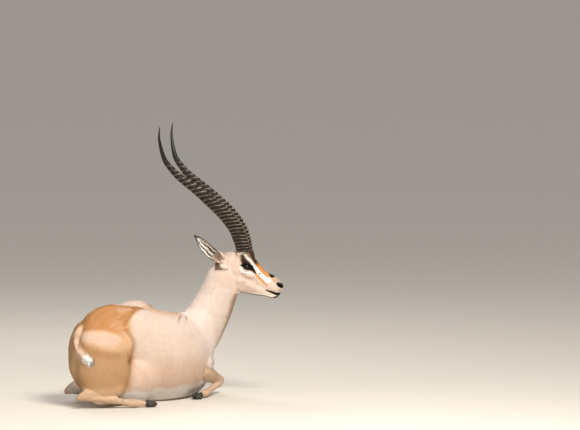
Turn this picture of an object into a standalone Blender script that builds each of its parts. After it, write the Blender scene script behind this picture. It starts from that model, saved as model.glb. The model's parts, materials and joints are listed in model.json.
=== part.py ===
"""A Grant's gazelle buck lying at rest, life size, as a set of named solids.

Metres, +Z up, the floor at z = 0. The face looks along +X, turned a little towards -Y.
The buck lies on its right haunch with its legs folded under it. Seen from above its back
is bent: the rump points along +X and the chest turns away from it, towards +Y.
"""

import math

import bmesh
import bpy
import numpy as np
from mathutils import Matrix, Vector

# Driving sizes
GAP = 0.0003
HEAD_AT = Vector((0.240, 0.200, 0.511))
HEAD_HEADING = -12.0
HORN_LENGTH = 0.645
HORN_RINGS = 28
HORN_RINGED = 0.80
HORN_LEAN = 0.75
HORN_ALONG = (0.0, 0.12, 0.25, 0.40, 0.55, 0.70, 0.82, 0.92, 1.0)
HORN_DEEP = (0.0268, 0.0285, 0.0272, 0.0232, 0.0182, 0.0130, 0.0086, 0.0050, 0.0014)
HORN_WIDE = (0.0215, 0.0222, 0.0212, 0.0188, 0.0154, 0.0114, 0.0078, 0.0046, 0.0013)
# Centre line of the left horn from root to tip: forward, out and up in the head, millimetres
HORN_LINE = (
    (36, 24, 62), (31.5, 25, 90), (22, 27, 126), (7.4, 31, 164.6), (-18.9, 36, 204.3), (-47, 42, 236), (-78.1, 48, 265.3),
    (-141, 60, 319.8), (-210, 76, 373.3), (-240.2, 84, 402.7), (-273.3, 96, 448.9), (-291.5, 112, 526.3), (-289.4, 120, 583),
)
EYE_RADIUS = 0.0165
EAR_LENGTH = 0.153
# The tuft's locks: how many, their length, how far they fan out, and where they grow from
TUFT_LOCKS = 6
TUFT_LENGTH = 0.030
TUFT_FAN = math.radians(64)
TUFT_FROM = Vector((-0.370, -0.290, 0.2115))
TUFT_TO = Vector((-0.344, -0.305, 0.193))
EAR_ALONG = (0.0, 0.10, 0.25, 0.42, 0.58, 0.72, 0.84, 0.93, 1.0)
EAR_HALF = (0.013, 0.0168, 0.0212, 0.0235, 0.0230, 0.0195, 0.0138, 0.0080, 0.0020)
CHEST_AT = Vector((0.030, 0.225, 0.0))
CHEST_HEADING = 60.0
PELVIS_AT = Vector((-0.300, -0.115, 0.0))
PELVIS_HEADING = 23.0

# Triangles that each solid is brought down to
CORE_TRIANGLES = 3320
HEAD_TRIANGLES = 3200
HIND_TRIANGLES = 930
FORE_TRIANGLES = 720
EAR_TRIANGLES = 440
TAIL_TRIANGLES = 340

MM = 0.001


def clear_scene():
    for old in list(bpy.data.objects):
        bpy.data.objects.remove(old, do_unlink=True)


def new_collection(name):
    made = bpy.data.collections.new(name)
    bpy.context.scene.collection.children.link(made)
    return made


def animal_frame(origin, heading, roll=0.0):
    """Axes of a part of the animal: x forward, y to its left, z up. Roll lifts its left side."""
    turn = Matrix.Rotation(math.radians(heading), 4, "Z")
    lean = Matrix.Rotation(math.radians(roll), 4, "X")
    return Matrix.Translation(origin) @ turn @ lean


def smooth_between(values, where):
    """Catmull-Rom through rows of values, read at places 0 .. count - 1."""
    values = np.asarray(values, float)
    last = len(values) - 1
    first = np.clip(np.floor(where).astype(int), 0, last - 1)
    t = (where - first)[:, None]
    p0 = np.where((first > 0)[:, None], values[np.maximum(first - 1, 0)], 2 * values[first] - values[first + 1])
    p1 = values[first]
    p2 = values[first + 1]
    after = np.minimum(first + 2, last)
    p3 = np.where((first + 2 <= last)[:, None], values[after], 2 * p2 - p1)
    return 0.5 * (
        2 * p1 + (p2 - p0) * t + (2 * p0 - 5 * p1 + 4 * p2 - p3) * t ** 2 + (3 * p1 - p0 - 3 * p2 + p3) * t ** 3
    )


class Section:
    """One cross section: its centre, and arrows to its left, top and bottom edges."""

    def __init__(self, centre, left, up, down):
        self.row = [*centre, *left, *up, *down]


def level_section(centre, heading, roll, width, up, down):
    """A section of the trunk, square to a heading, with its left side lifted by a roll."""
    turn = math.radians(heading)
    lean = math.radians(roll)
    side = Vector((-math.sin(turn), math.cos(turn), 0.0))
    rise = Vector((0.0, 0.0, 1.0))
    left = side * math.cos(lean) + rise * math.sin(lean)
    top = rise * math.cos(lean) - side * math.sin(lean)
    return Section(centre, left * width, top * up, -top * down)


def profile_section(frame, top, bottom, width, lean=0.0):
    """A section of the head, from its top and bottom points in the side view, in millimetres."""
    top = Vector((top[0], 0.0, top[1])) * MM
    bottom = Vector((bottom[0], 0.0, bottom[1])) * MM
    centre = (top + bottom) / 2
    turn = frame.to_3x3()
    left = turn @ Vector((lean * MM, width * MM, 0.0))
    return Section(frame @ centre, left, turn @ (top - centre), turn @ (bottom - centre))


def limb_sections(frame, points, side):
    """Sections square to a path. Each point is its place, half width and half thickness."""
    turn = frame.to_3x3()
    places = [frame @ Vector(p[:3]) for p in points]
    side = (turn @ Vector(side)).normalized()
    made = []
    for i, point in enumerate(points):
        along = (places[min(i + 1, len(places) - 1)] - places[max(i - 1, 0)]).normalized()
        left = (side - along * side.dot(along)).normalized()
        top = along.cross(left)
        made.append(Section(places[i], left * point[3], top * point[4], -top * point[4]))
    return made


def pulled(name, sections, rows=36, around=24, blunt=10, square=1.0):
    """A sphere pulled out through sections into one closed, round-ended body."""
    bm = bmesh.new()
    bmesh.ops.create_uvsphere(bm, u_segments=around, v_segments=rows, radius=1.0)
    table = np.array([s.row for s in sections])
    steps = np.linalg.norm(np.diff(table[:, :3], axis=0), axis=1)
    reach = np.concatenate([[0.0], np.cumsum(steps)])
    reach /= reach[-1]
    unit = np.array([v.co for v in bm.verts])
    share = np.clip((1 - unit[:, 2]) / 2, 0, 1)
    where = np.interp(share, reach, np.arange(len(reach)))
    rowed = smooth_between(table, where)
    flat = np.hypot(unit[:, 0], unit[:, 1])
    flat[flat < 1e-9] = 1.0
    across = unit[:, 0] / flat
    height = unit[:, 1] / flat
    across = np.sign(across) * np.abs(across) ** square
    height = np.sign(height) * np.abs(height) ** square
    swell = np.sqrt(np.clip(1 - np.abs(2 * share - 1) ** blunt, 0, 1))
    upright = np.where((height > 0)[:, None], rowed[:, 6:9], -rowed[:, 9:12])
    placed = rowed[:, :3] + (rowed[:, 3:6] * across[:, None] + upright * height[:, None]) * swell[:, None]
    for vert, co in zip(bm.verts, placed):
        vert.co = co
    return closed_object(name, bm)


def closed_object(name, bm):
    """An object from a closed bmesh, with its faces turned outwards."""
    if bm.calc_volume(signed=True) < 0:
        bmesh.ops.reverse_faces(bm, faces=bm.faces)
    mesh = bpy.data.meshes.new(name)
    bm.to_mesh(mesh)
    bm.free()
    return bpy.data.objects.new(name, mesh)


def ball(name, frame, centre, radii, turn=(0.0, 0.0, 0.0), around=24, rows=16):
    """An ellipsoid of muscle or bone in a frame, in metres, with its own turn in degrees."""
    bm = bmesh.new()
    bmesh.ops.create_uvsphere(bm, u_segments=around, v_segments=rows, radius=1.0)
    x, y, z = (math.radians(a) for a in turn)
    own = Matrix.Translation(centre) @ Matrix.Rotation(z, 4, "Z") @ Matrix.Rotation(y, 4, "Y")
    own = own @ Matrix.Rotation(x, 4, "X") @ Matrix.Diagonal((*radii, 1.0))
    bm.transform(frame @ own)
    return closed_object(name, bm)


def evaluated_mesh(obj):
    """The mesh that an object's modifiers make."""
    graph = bpy.context.evaluated_depsgraph_get()
    return bpy.data.meshes.new_from_object(obj.evaluated_get(graph))


def settle(obj):
    """Applies an object's modifiers."""
    mesh = evaluated_mesh(obj)
    obj.modifiers.clear()
    obj.data = mesh


def fused(name, pieces, voxel, smoothing, triangles):
    """One closed skin over overlapping pieces, smoothed and brought down to a triangle count."""
    bm = bmesh.new()
    for piece in pieces:
        bm.from_mesh(piece.data)
        bpy.data.objects.remove(piece)
    mesh = bpy.data.meshes.new(name)
    bm.to_mesh(mesh)
    bm.free()
    body = bpy.data.objects.new(name, mesh)
    parts.objects.link(body)
    remesh = body.modifiers.new("Skin", "REMESH")
    remesh.mode = "VOXEL"
    remesh.voxel_size = voxel
    relax = body.modifiers.new("Relax", "SMOOTH")
    relax.factor = 0.5
    relax.iterations = smoothing
    settle(body)
    keep_largest(body)
    count = sum(len(p.vertices) - 2 for p in body.data.polygons)
    if count > triangles:
        thin = body.modifiers.new("Thin", "DECIMATE")
        thin.ratio = triangles / count
        thin.use_collapse_triangulate = True
        settle(body)
    return body


def keep_largest(obj):
    """Drops every closed surface but the largest."""
    bm = bmesh.new()
    bm.from_mesh(obj.data)
    bm.faces.ensure_lookup_table()
    left = set(bm.faces)
    shells = []
    while left:
        start = left.pop()
        shell = [start]
        edge = [start]
        while edge:
            face = edge.pop()
            for loop in face.loops:
                for other in loop.edge.link_faces:
                    if other in left:
                        left.remove(other)
                        shell.append(other)
                        edge.append(other)
        shells.append(shell)
    largest = max(shells, key=lambda s: sum(f.calc_area() for f in s))
    drop = [f for s in shells if s is not largest for f in s]
    bmesh.ops.delete(bm, geom=drop, context="FACES")
    loose = [v for v in bm.verts if not v.link_faces]
    bmesh.ops.delete(bm, geom=loose, context="VERTS")
    bm.to_mesh(obj.data)
    bm.free()


def grown(obj, by):
    """A copy of a body with every face moved out by a distance, for cutting its neighbours."""
    copy = bpy.data.objects.new(obj.name + "_grown", obj.data.copy())
    cutters.objects.link(copy)
    puff = copy.modifiers.new("Grow", "DISPLACE")
    puff.mid_level = 0.0
    puff.strength = by
    settle(copy)
    return copy


def combine(obj, other, operation):
    """A Boolean between two closed bodies, applied. The solver is the one made for closed meshes."""
    change = obj.modifiers.new("Cut", "BOOLEAN")
    change.operation = operation
    change.solver = "MANIFOLD"
    change.object = other
    settle(obj)


def cut_clear(obj, *others):
    """Cuts a body back from its neighbours, with a gap, and keeps its largest piece."""
    for other in others:
        cutter = grown(other, GAP)
        combine(obj, cutter, "DIFFERENCE")
        bpy.data.objects.remove(cutter)
    keep_largest(obj)


def half_space(name, frame):
    """A big box that fills the side of the frame's y-z plane that x points to."""
    size = 4.0
    bm = bmesh.new()
    bmesh.ops.create_cube(bm, size=size)
    bm.transform(frame @ Matrix.Translation((size / 2, 0, 0)))
    made = closed_object(name, bm)
    cutters.objects.link(made)
    made.hide_render = True
    made.display_type = "WIRE"
    return made


def cut_side(obj, frame):
    """Removes what lies on the side of a plane that the frame's x points to."""
    cutter = half_space("side", frame)
    combine(obj, cutter, "DIFFERENCE")
    bpy.data.objects.remove(cutter)


def looking(origin, direction):
    """A frame whose x points along a direction."""
    turn = Vector(direction).to_track_quat("X", "Z").to_matrix().to_4x4()
    return Matrix.Translation(origin) @ turn


def copy_of(obj, name):
    made = bpy.data.objects.new(name, obj.data.copy())
    parts.objects.link(made)
    return made


def finish(obj, name, material):
    obj.name = name
    obj.data.name = name
    obj.data.materials.clear()
    obj.data.materials.append(material)
    obj.data.shade_smooth()
    return obj


def centre_on_floor():
    """Slides every solid so that the middle of the whole stands over the origin."""
    bounds = [v.co for obj in parts.objects for v in obj.data.vertices]
    middle = [(min(c[i] for c in bounds) + max(c[i] for c in bounds)) / 2 for i in range(2)]
    lowest = min(c[2] for c in bounds)
    slide = Matrix.Translation((-middle[0], -middle[1], -lowest))
    for obj in parts.objects:
        obj.data.transform(slide)


def material(name, colour, roughness):
    made = bpy.data.materials.new(name)
    made.use_nodes = True
    shader = made.node_tree.nodes["Principled BSDF"]
    shader.inputs["Base Color"].default_value = (*colour, 1.0)
    shader.inputs["Roughness"].default_value = roughness
    return made


def trunk_pieces():
    """The barrel from the buttocks to the breast, and the bulges of the hips, paunch and shoulders."""
    barrel = [
        level_section((-0.403, -0.193, 0.222), 15, 20, 0.052, 0.080, 0.110),
        level_section((-0.368, -0.168, 0.228), 18, 22, 0.086, 0.146, 0.170),
        level_section((-0.290, -0.115, 0.230), 22, 24, 0.108, 0.184, 0.210),
        level_section((-0.205, -0.060, 0.216), 28, 23, 0.118, 0.192, 0.205),
        level_section((-0.135, 0.000, 0.197), 38, 17, 0.134, 0.186, 0.205),
        level_section((-0.070, 0.070, 0.182), 48, 10, 0.148, 0.180, 0.195),
        level_section((-0.015, 0.150, 0.178), 56, 5, 0.140, 0.168, 0.190),
        level_section((0.030, 0.225, 0.180), 60, 2, 0.120, 0.155, 0.185),
        level_section((0.060, 0.285, 0.184), 62, 0, 0.098, 0.136, 0.178),
        level_section((0.085, 0.335, 0.186), 62, 0, 0.072, 0.098, 0.140),
        level_section((0.103, 0.368, 0.181), 62, 0, 0.038, 0.056, 0.080),
    ]
    made = [pulled("barrel", barrel, rows=60, around=40, blunt=16, square=0.94)]
    whole = Matrix.Identity(4)
    made.append(ball("paunch", whole, (-0.168, 0.040, 0.252), (0.134, 0.106, 0.154), (0, 0, 34)))
    made.append(ball("hip_right", whole, (-0.190, -0.125, 0.302), (0.090, 0.045, 0.058), (0, 0, 25)))
    made.append(ball("neck_root", whole, (0.092, 0.190, 0.303), (0.060, 0.042, 0.046), (0, 0, 45)))
    made.append(ball("groin", whole, (-0.190, -0.125, 0.100), (0.125, 0.078, 0.105), (0, 0, 28)))
    chest = animal_frame(CHEST_AT, CHEST_HEADING)
    for side in (-1, 1):
        blade = [
            (-0.050, side * 0.056, 0.318, 0.030, 0.042),
            (-0.012, side * 0.073, 0.265, 0.038, 0.062),
            (0.026, side * 0.074, 0.212, 0.038, 0.064),
            (0.036, side * 0.070, 0.168, 0.036, 0.054),
            (0.022, side * 0.068, 0.120, 0.032, 0.044),
        ]
        made.append(pulled("shoulder", limb_sections(chest, blade, (0, 1, 0)), blunt=6))
        made.append(ball("upper_arm", chest, (-0.012, side * 0.086, 0.165), (0.080, 0.034, 0.062), (0, -25, 0)))
    return made


def neck_pieces():
    """The neck, from inside the chest to inside the skull, turning as it rises."""
    rise = [
        ((0.048, 0.280, 0.180), 58, 0.080, 0.112),
        ((0.082, 0.268, 0.256), 52, 0.086, 0.122),
        ((0.124, 0.250, 0.322), 40, 0.073, 0.100),
        ((0.152, 0.235, 0.378), 26, 0.064, 0.084),
        ((0.173, 0.220, 0.428), 10, 0.059, 0.076),
        ((0.190, 0.208, 0.472), -2, 0.055, 0.074),
        ((0.204, 0.204, 0.515), -10, 0.050, 0.062),
        ((0.216, 0.202, 0.550), -12, 0.040, 0.045),
    ]
    made = []
    places = [Vector(r[0]) for r in rise]
    for i, (place, heading, width, depth) in enumerate(rise):
        along = (places[min(i + 1, len(rise) - 1)] - places[max(i - 1, 0)]).normalized()
        turn = math.radians(heading)
        side = Vector((-math.sin(turn), math.cos(turn), 0.0))
        left = (side - along * side.dot(along)).normalized()
        nape = along.cross(left)
        made.append(Section(place, left * width, nape * depth, -nape * depth))
    return [pulled("neck", made, rows=44, around=32, blunt=14)]


def head_pieces():
    """The skull, muzzle, cheeks and jaw in the head's own side view, and the bulges on them."""
    skull = [
        ((-76, 42), (-62, -30), 34),
        ((-52, 66), (-42, -42), 45),
        ((-8, 76), (0, -48), 48),
        ((45, 74), (38, -40), 47),
        ((82, 42), (64, -48), 39),
        ((100, 19), (82, -62), 33),
        ((120, -2), (102, -74), 29),
        ((140, -12), (122, -81), 27),
        ((160, -21), (141, -86), 26),
        ((176, -33), (160, -89), 24),
        ((189, -51), (178, -90), 20),
        ((195, -68), (190, -88), 13),
    ]
    jaw = [
        ((-28, -20), (-22, -76), 32),
        ((10, -30), (14, -90), 34),
        ((48, -45), (50, -96), 31),
        ((80, -60), (80, -101), 26),
        ((110, -74), (112, -107), 22),
        ((136, -82), (138, -113), 19),
        ((156, -88), (156, -114), 17),
        ((171, -90), (169, -108), 15),
        ((181, -91), (179, -101), 10),
    ]
    cheek = [
        ((-30, 5), (-24, -60), 37),
        ((10, 10), (12, -80), 41),
        ((45, -8), (45, -88), 39),
        ((75, -30), (72, -94), 33),
        ((100, -50), (98, -98), 27),
        ((122, -65), (120, -100), 21),
        ((134, -74), (134, -96), 14),
    ]
    made = [
        pulled("skull", [profile_section(head, *s) for s in skull], rows=44, around=32, blunt=14, square=0.9),
        pulled("jaw", [profile_section(head, *s) for s in jaw], rows=36, around=28, blunt=12),
        pulled("cheek", [profile_section(head, *s) for s in cheek], rows=28, around=28, blunt=10),
    ]
    made.append(ball("forelock", head, (0.050, 0.0, 0.061), (0.026, 0.025, 0.026), (0, 20, 0)))
    for side in (-1, 1):
        made.append(ball("brow", head, (0.048, side * 0.036, 0.034), (0.032, 0.016, 0.016), (0, 30, 0)))
        made.append(ball("cheekbone", head, (0.050, side * 0.036, -0.012), (0.040, 0.012, 0.012), (0, 18, 0)))
        made.append(ball("pedicle", head, (0.034, side * 0.026, 0.066), (0.031, 0.024, 0.020)))
        made.append(ball("nose_wing", head, (0.178, side * 0.015, -0.062), (0.015, 0.010, 0.013), (0, 40, 0)))
        made.append(ball("ear_root", head, (-0.040, side * 0.038, 0.038), (0.020, 0.014, 0.018)))
    return made


def mouth_cutter():
    """The parting of the lips, from the corner of the mouth to the front, as a flat wedge."""
    line = [(123, -78.5), (146, -85.5), (166, -90.2), (205, -89.0), (205, -95.5), (166, -93.0), (146, -87.5)]
    bm = bmesh.new()
    near = [bm.verts.new((h * MM, -0.05, z * MM)) for h, z in line]
    face = bm.faces.new(near)
    out = bmesh.ops.extrude_face_region(bm, geom=[face])
    moved = [v for v in out["geom"] if isinstance(v, bmesh.types.BMVert)]
    bmesh.ops.translate(bm, verts=moved, vec=(0, 0.10, 0))
    bmesh.ops.triangulate(bm, faces=bm.faces)
    bmesh.ops.recalc_face_normals(bm, faces=bm.faces)
    bm.transform(head)
    return closed_object("mouth", bm)


def open_face(skull):
    """Cuts the mouth, nostrils and eyelids into the head."""
    core = [
        ((112, -70), (112, -96), 14),
        ((140, -78), (140, -98), 14),
        ((165, -84), (165, -100), 13),
        ((183, -86), (181, -97), 8),
    ]
    steps = [("DIFFERENCE", mouth_cutter())]
    inner = pulled("inner_mouth", [profile_section(head, *s) for s in core], rows=12, around=14, blunt=8)
    steps.append(("UNION", inner))
    for side in (-1, 1):
        hole = ball("nostril", head, (0.184, side * 0.0175, -0.062), (0.0085, 0.0062, 0.0040), (0, 35, side * -30), 12, 8)
        steps.append(("DIFFERENCE", hole))
        lids = ball("lids", head, eye_centre(side), (EYE_RADIUS + 0.0028,) * 3, around=20, rows=14)
        steps.append(("UNION", lids))
        steps.append(("DIFFERENCE", lid_opening(side)))
    for operation, other in steps:
        cutters.objects.link(other)
        combine(skull, other, operation)
        bpy.data.objects.remove(other)


def lid_opening(side):
    """A lens-shaped cutter for the almond between the lids, its front corner the lower one."""
    bm = bmesh.new()
    bmesh.ops.create_uvsphere(bm, u_segments=20, v_segments=12, radius=1.0)
    for vert in bm.verts:
        x, y, z = vert.co
        vert.co = (x * 0.0168, y * 0.0120, z * 0.0104 * (1 - 0.35 * x * x))
    slant = Matrix.Rotation(math.radians(26), 4, "Y")
    face = Matrix.Rotation(math.radians(side * -12), 4, "Z")
    out = Matrix.Translation(eye_centre(side) + Vector((0.003, side * 0.0165, 0.0005)))
    bm.transform(head @ out @ face @ slant)
    return closed_object("lid_opening", bm)


def horn_axis(side, where):
    """Places on a horn's centre line, in the head's frame. where runs from 0, root, to 1, tip."""
    run = np.array(HORN_LINE) * MM
    run[:, 1] *= side
    steps = np.linalg.norm(np.diff(run, axis=0), axis=1)
    reach = np.concatenate([[0.0], np.cumsum(steps)])
    reach /= reach[-1]
    return smooth_between(run, np.interp(where, reach, np.arange(len(run))))


def horn(side):
    """A horn with its rings, closer together at the root. Each ring leans forward and down."""
    around = 11
    turns = []
    for ring in range(HORN_RINGS):
        start, stop = (HORN_RINGED * t * (0.6 + 0.4 * t) for t in (ring / HORN_RINGS, (ring + 1) / HORN_RINGS))
        stand = 0.13 * (1 - 0.25 * ring / HORN_RINGS)
        turns += [(start, -stand * 0.5), (start + 0.62 * (stop - start), stand)]
    turns += [(w, 0.0) for w in np.linspace(HORN_RINGED + 0.015, 0.99, 6)]
    rows = len(turns) + 1
    bm = bmesh.new()
    bmesh.ops.create_uvsphere(bm, u_segments=around, v_segments=rows, radius=1.0)
    for vert in bm.verts:
        row = round(math.acos(max(-1.0, min(1.0, vert.co.z))) / math.pi * rows)
        if row in (0, rows):
            vert.co = head @ Vector(horn_axis(side, np.array([float(row == rows)]))[0])
            continue
        where, ridge = turns[row - 1]
        angle = math.atan2(vert.co.y, vert.co.x)
        front = math.cos(angle)
        out = math.sin(angle)
        deep = float(np.interp(where, HORN_ALONG, HORN_DEEP))
        wide = float(np.interp(where, HORN_ALONG, HORN_WIDE))
        lean = -HORN_LEAN * min(1.0, where / 0.3) * front * deep / HORN_LENGTH
        at = min(max(where + lean, 0.0), 0.999)
        centre, ahead = (Vector(p) for p in horn_axis(side, np.array([at, min(at + 0.004, 1.0)])))
        along = (ahead - centre).normalized()
        left = (Vector((0, 1, 0)) - along * along.y).normalized()
        back = along.cross(left)
        stand = 1 + ridge * (0.65 + 0.35 * front)
        vert.co = head @ (centre - back * front * deep * stand + left * out * wide * stand)
    made = closed_object("horn", bm)
    parts.objects.link(made)
    return made


def ear(side, root, axis, opening, length):
    """A cupped leaf on a short stalk. axis runs to the tip, and opening is the way the cup faces."""
    axis = Vector(axis).normalized()
    opening = Vector(opening)
    opening = (opening - axis * opening.dot(axis)).normalized()
    across = axis.cross(opening)
    rows, columns = 18, 12
    bm = bmesh.new()
    bmesh.ops.create_grid(bm, x_segments=columns, y_segments=rows, size=1.0)
    for vert in bm.verts:
        u = (vert.co.y + 1) / 2
        v = vert.co.x
        half = float(np.interp(u, EAR_ALONG, EAR_HALF))
        curl = math.radians(112 - 60 * u)
        radius = half / math.sin(min(curl, math.pi / 2))
        bend = v * curl
        place = axis * length * u + across * radius * math.sin(bend) - opening * radius * math.cos(bend)
        place += opening * (0.020 - 0.020 * (2 * u - 1) ** 2)
        vert.co = head @ (Vector(root) + place)
    mesh = bpy.data.meshes.new("ear")
    bm.to_mesh(mesh)
    bm.free()
    leaf = bpy.data.objects.new("leaf", mesh)
    parts.objects.link(leaf)
    wall = leaf.modifiers.new("Wall", "SOLIDIFY")
    wall.thickness = 0.0036
    wall.offset = 0.0
    settle(leaf)
    root = Vector(root)
    stalk = [
        (*(root - axis * 0.030 - opening * 0.012), 0.014, 0.014),
        (*(root - axis * 0.005 - opening * 0.014), 0.017, 0.014),
        (*(root + axis * 0.022 - opening * 0.016), 0.019, 0.009),
        (*(root + axis * 0.050 - opening * 0.020), 0.012, 0.004),
    ]
    base = pulled("stalk", limb_sections(head, stalk, across), blunt=5)
    return fused("ear", [leaf, base], 0.0016, 3, EAR_TRIANGLES)


def eye_centre(side):
    return Vector((0.051, side * 0.0385, 0.016))


def eyeball(side):
    made = ball("eye", head, eye_centre(side), (EYE_RADIUS,) * 3, around=14, rows=8)
    parts.objects.link(made)
    return made


def hind_leg(side, frame, haunch, joints):
    """Thigh, gaskin, hock, cannon and pastern of a folded hind leg, along its joints."""
    stifle, hock, fetlock, toe = (Vector(j) for j in joints)
    gaskin = [
        (*stifle, 0.034, 0.046),
        (*stifle.lerp(hock, 0.3), 0.040, 0.048),
        (*stifle.lerp(hock, 0.65), 0.028, 0.032),
        (*hock.lerp(stifle, 0.08), 0.019, 0.025),
        (*(hock + (hock - stifle).normalized() * 0.030), 0.013, 0.017),
    ]
    cannon = [
        (*hock, 0.019, 0.025),
        (*hock.lerp(fetlock, 0.2), 0.015, 0.018),
        (*hock.lerp(fetlock, 0.75), 0.012, 0.014),
        (*hock.lerp(fetlock, 0.95), 0.017, 0.018),
        (*fetlock, 0.018, 0.019),
        (*fetlock.lerp(toe, 0.35), 0.015, 0.015),
        (*fetlock.lerp(toe, 0.62), 0.019, 0.016),
    ]
    pieces = [pulled("thigh", limb_sections(frame, haunch, (1.0, 0.0, 0.0)), around=32, blunt=5)]
    for name, points in (("gaskin", gaskin), ("cannon", cannon)):
        pieces.append(pulled(name, limb_sections(frame, points, (0.12, 1.0, 0.1)), blunt=6))
    return fused("hind_leg", pieces, 0.0040, 6, HIND_TRIANGLES)


def fore_leg(side, frame, joints):
    """Upper arm, forearm, knee, cannon and pastern of a folded foreleg."""
    shoulder, elbow, knee, fetlock, toe = (Vector(j) for j in joints)
    arm = [
        (*shoulder.lerp(elbow, 0.25), 0.040, 0.048),
        (*shoulder.lerp(elbow, 0.7), 0.038, 0.046),
        (*elbow, 0.030, 0.036),
    ]
    forearm = [
        (*(elbow + (elbow - knee).normalized() * 0.025), 0.018, 0.022),
        (*elbow, 0.027, 0.034),
        (*elbow.lerp(knee, 0.25), 0.028, 0.034),
        (*elbow.lerp(knee, 0.7), 0.019, 0.022),
        (*elbow.lerp(knee, 0.92), 0.021, 0.022),
        (*knee, 0.021, 0.022),
    ]
    cannon = [
        (*knee, 0.020, 0.021),
        (*knee.lerp(fetlock, 0.15), 0.016, 0.017),
        (*knee.lerp(fetlock, 0.75), 0.0115, 0.0125),
        (*knee.lerp(fetlock, 0.95), 0.017, 0.017),
        (*fetlock, 0.018, 0.018),
        (*fetlock.lerp(toe, 0.35), 0.014, 0.014),
        (*fetlock.lerp(toe, 0.62), 0.018, 0.015),
    ]
    pieces = []
    for name, points in (("arm", arm), ("forearm", forearm), ("cannon", cannon)):
        pieces.append(pulled(name, limb_sections(frame, points, (0.1, 1.0, 0.1)), blunt=6))
    return fused("fore_leg", pieces, 0.0032, 3, FORE_TRIANGLES)


def toe_pair(frame, fetlock, toe):
    """The two halves of a cloven hoof, side by side, pointing from the fetlock to the toe."""
    fetlock, toe = Vector(fetlock), Vector(toe)
    along = (toe - fetlock).normalized()
    side = Vector((0, 1, 0))
    side = (side - along * side.dot(along)).normalized()
    made = []
    for half in (-1, 1):
        off = side * half * 0.0098
        points = [
            (*(fetlock.lerp(toe, 0.52) + off * 0.9), 0.0080, 0.0120),
            (*(fetlock.lerp(toe, 0.66) + off), 0.0092, 0.0140),
            (*(fetlock.lerp(toe, 0.85) + off), 0.0082, 0.0110),
            (*(toe + off * 0.62), 0.0040, 0.0055),
        ]
        claw = pulled("claw", limb_sections(frame, points, side), rows=7, around=8, blunt=8)
        parts.objects.link(claw)
        made.append(claw)
    return made


def tail_body():
    """The tail, hanging over the right buttock."""
    points = [
        (-0.348, -0.166, 0.322, 0.015, 0.013),
        (-0.374, -0.198, 0.317, 0.0165, 0.0135),
        (-0.391, -0.216, 0.297, 0.016, 0.013),
        (-0.3965, -0.220, 0.266, 0.0145, 0.012),
        (-0.391, -0.244, 0.238, 0.0130, 0.011),
        (-0.376, -0.280, 0.2175, 0.0125, 0.0105),
        (-0.355, -0.302, 0.199, 0.0105, 0.0095),
        (-0.338, -0.307, 0.190, 0.0065, 0.006),
    ]
    base = pulled("tail", limb_sections(Matrix.Identity(4), points, (1.0, -0.4, 0.2)), blunt=8)
    return fused("tail", [base], 0.003, 2, TAIL_TRIANGLES)


def tuft_locks():
    """The flat tapered locks of the tuft, fanned out from the last stretch of the tail."""
    made = []
    for i in range(TUFT_LOCKS):
        share = i / (TUFT_LOCKS - 1)
        fan = (share - 0.5) * TUFT_FAN
        start = TUFT_FROM.lerp(TUFT_TO, 0.75 * (1 - abs(2 * share - 1)))
        way = Matrix.Rotation(fan, 3, Vector((0.4, 1.0, 0.3))) @ (TUFT_TO - TUFT_FROM).normalized()
        long = TUFT_LENGTH * (1.0 - 0.25 * abs(2 * share - 1))
        points = [
            (*start, 0.0060, 0.0045),
            (*(start + way * long * 0.4), 0.0062, 0.0038),
            (*(start + way * long * 0.75), 0.0040, 0.0025),
            (*(start + way * long), 0.0012, 0.0010),
        ]
        lock = pulled("lock", limb_sections(Matrix.Identity(4), points, (1.0, -0.4, 0.2)), rows=5, around=5, blunt=6)
        made.append(lock)
    return made


clear_scene()
parts = new_collection("grants_gazelle")
cutters = new_collection("cutters")
head = animal_frame(HEAD_AT, HEAD_HEADING)

coat_colour = material("coat", (0.62, 0.42, 0.26), 0.85)
white_colour = material("white_hair", (0.82, 0.79, 0.74), 0.9)
horn_colour = material("horn", (0.10, 0.085, 0.07), 0.5)
eye_colour = material("eye", (0.02, 0.015, 0.012), 0.08)
hoof_colour = material("hoof", (0.06, 0.055, 0.05), 0.45)

flesh = [*trunk_pieces(), *neck_pieces(), *head_pieces()]
core = fused("core", flesh, 0.0065, 10, CORE_TRIANGLES)
skull = fused("skull", [*neck_pieces(), *head_pieces()], 0.0026, 8, HEAD_TRIANGLES)

# The head parts from the neck behind the ears and jaw
nape = looking((0.194, 0.207, 0.478), (0.42, -0.02, 0.91))
cut_side(core, nape)
behind = Matrix.Translation((nape.to_3x3() @ Vector((GAP, 0, 0)))) @ nape @ Matrix.Rotation(math.pi, 4, "Z")
cut_side(skull, behind)
keep_largest(skull)
keep_largest(core)

# The floor presses the underside flat
floor = looking((0, 0, 0), (0, 0, -1))
cut_side(core, floor)

# The trunk parts into neck, chest, barrel and rump
joins = [
    ("neck", looking((0.118, 0.256, 0.305), (0.40, -0.02, 0.90))),
    ("chest", looking((0.000, 0.165, 0.0), (0.50, 0.866, 0.0))),
    ("barrel", looking((-0.160, -0.030, 0.0), (0.85, 0.53, 0.0))),
]
nodes = []
rest = core
for name, plane in joins:
    front = copy_of(rest, name)
    back = plane @ Matrix.Rotation(math.pi, 4, "Z")
    cut_side(front, Matrix.Translation(plane.to_3x3() @ Vector((GAP, 0, 0))) @ back)
    keep_largest(front)
    cut_side(rest, plane)
    keep_largest(rest)
    nodes.append(finish(front, name, coat_colour))
nodes.append(finish(rest, "rump", coat_colour))
trunk_nodes = list(nodes)

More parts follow.
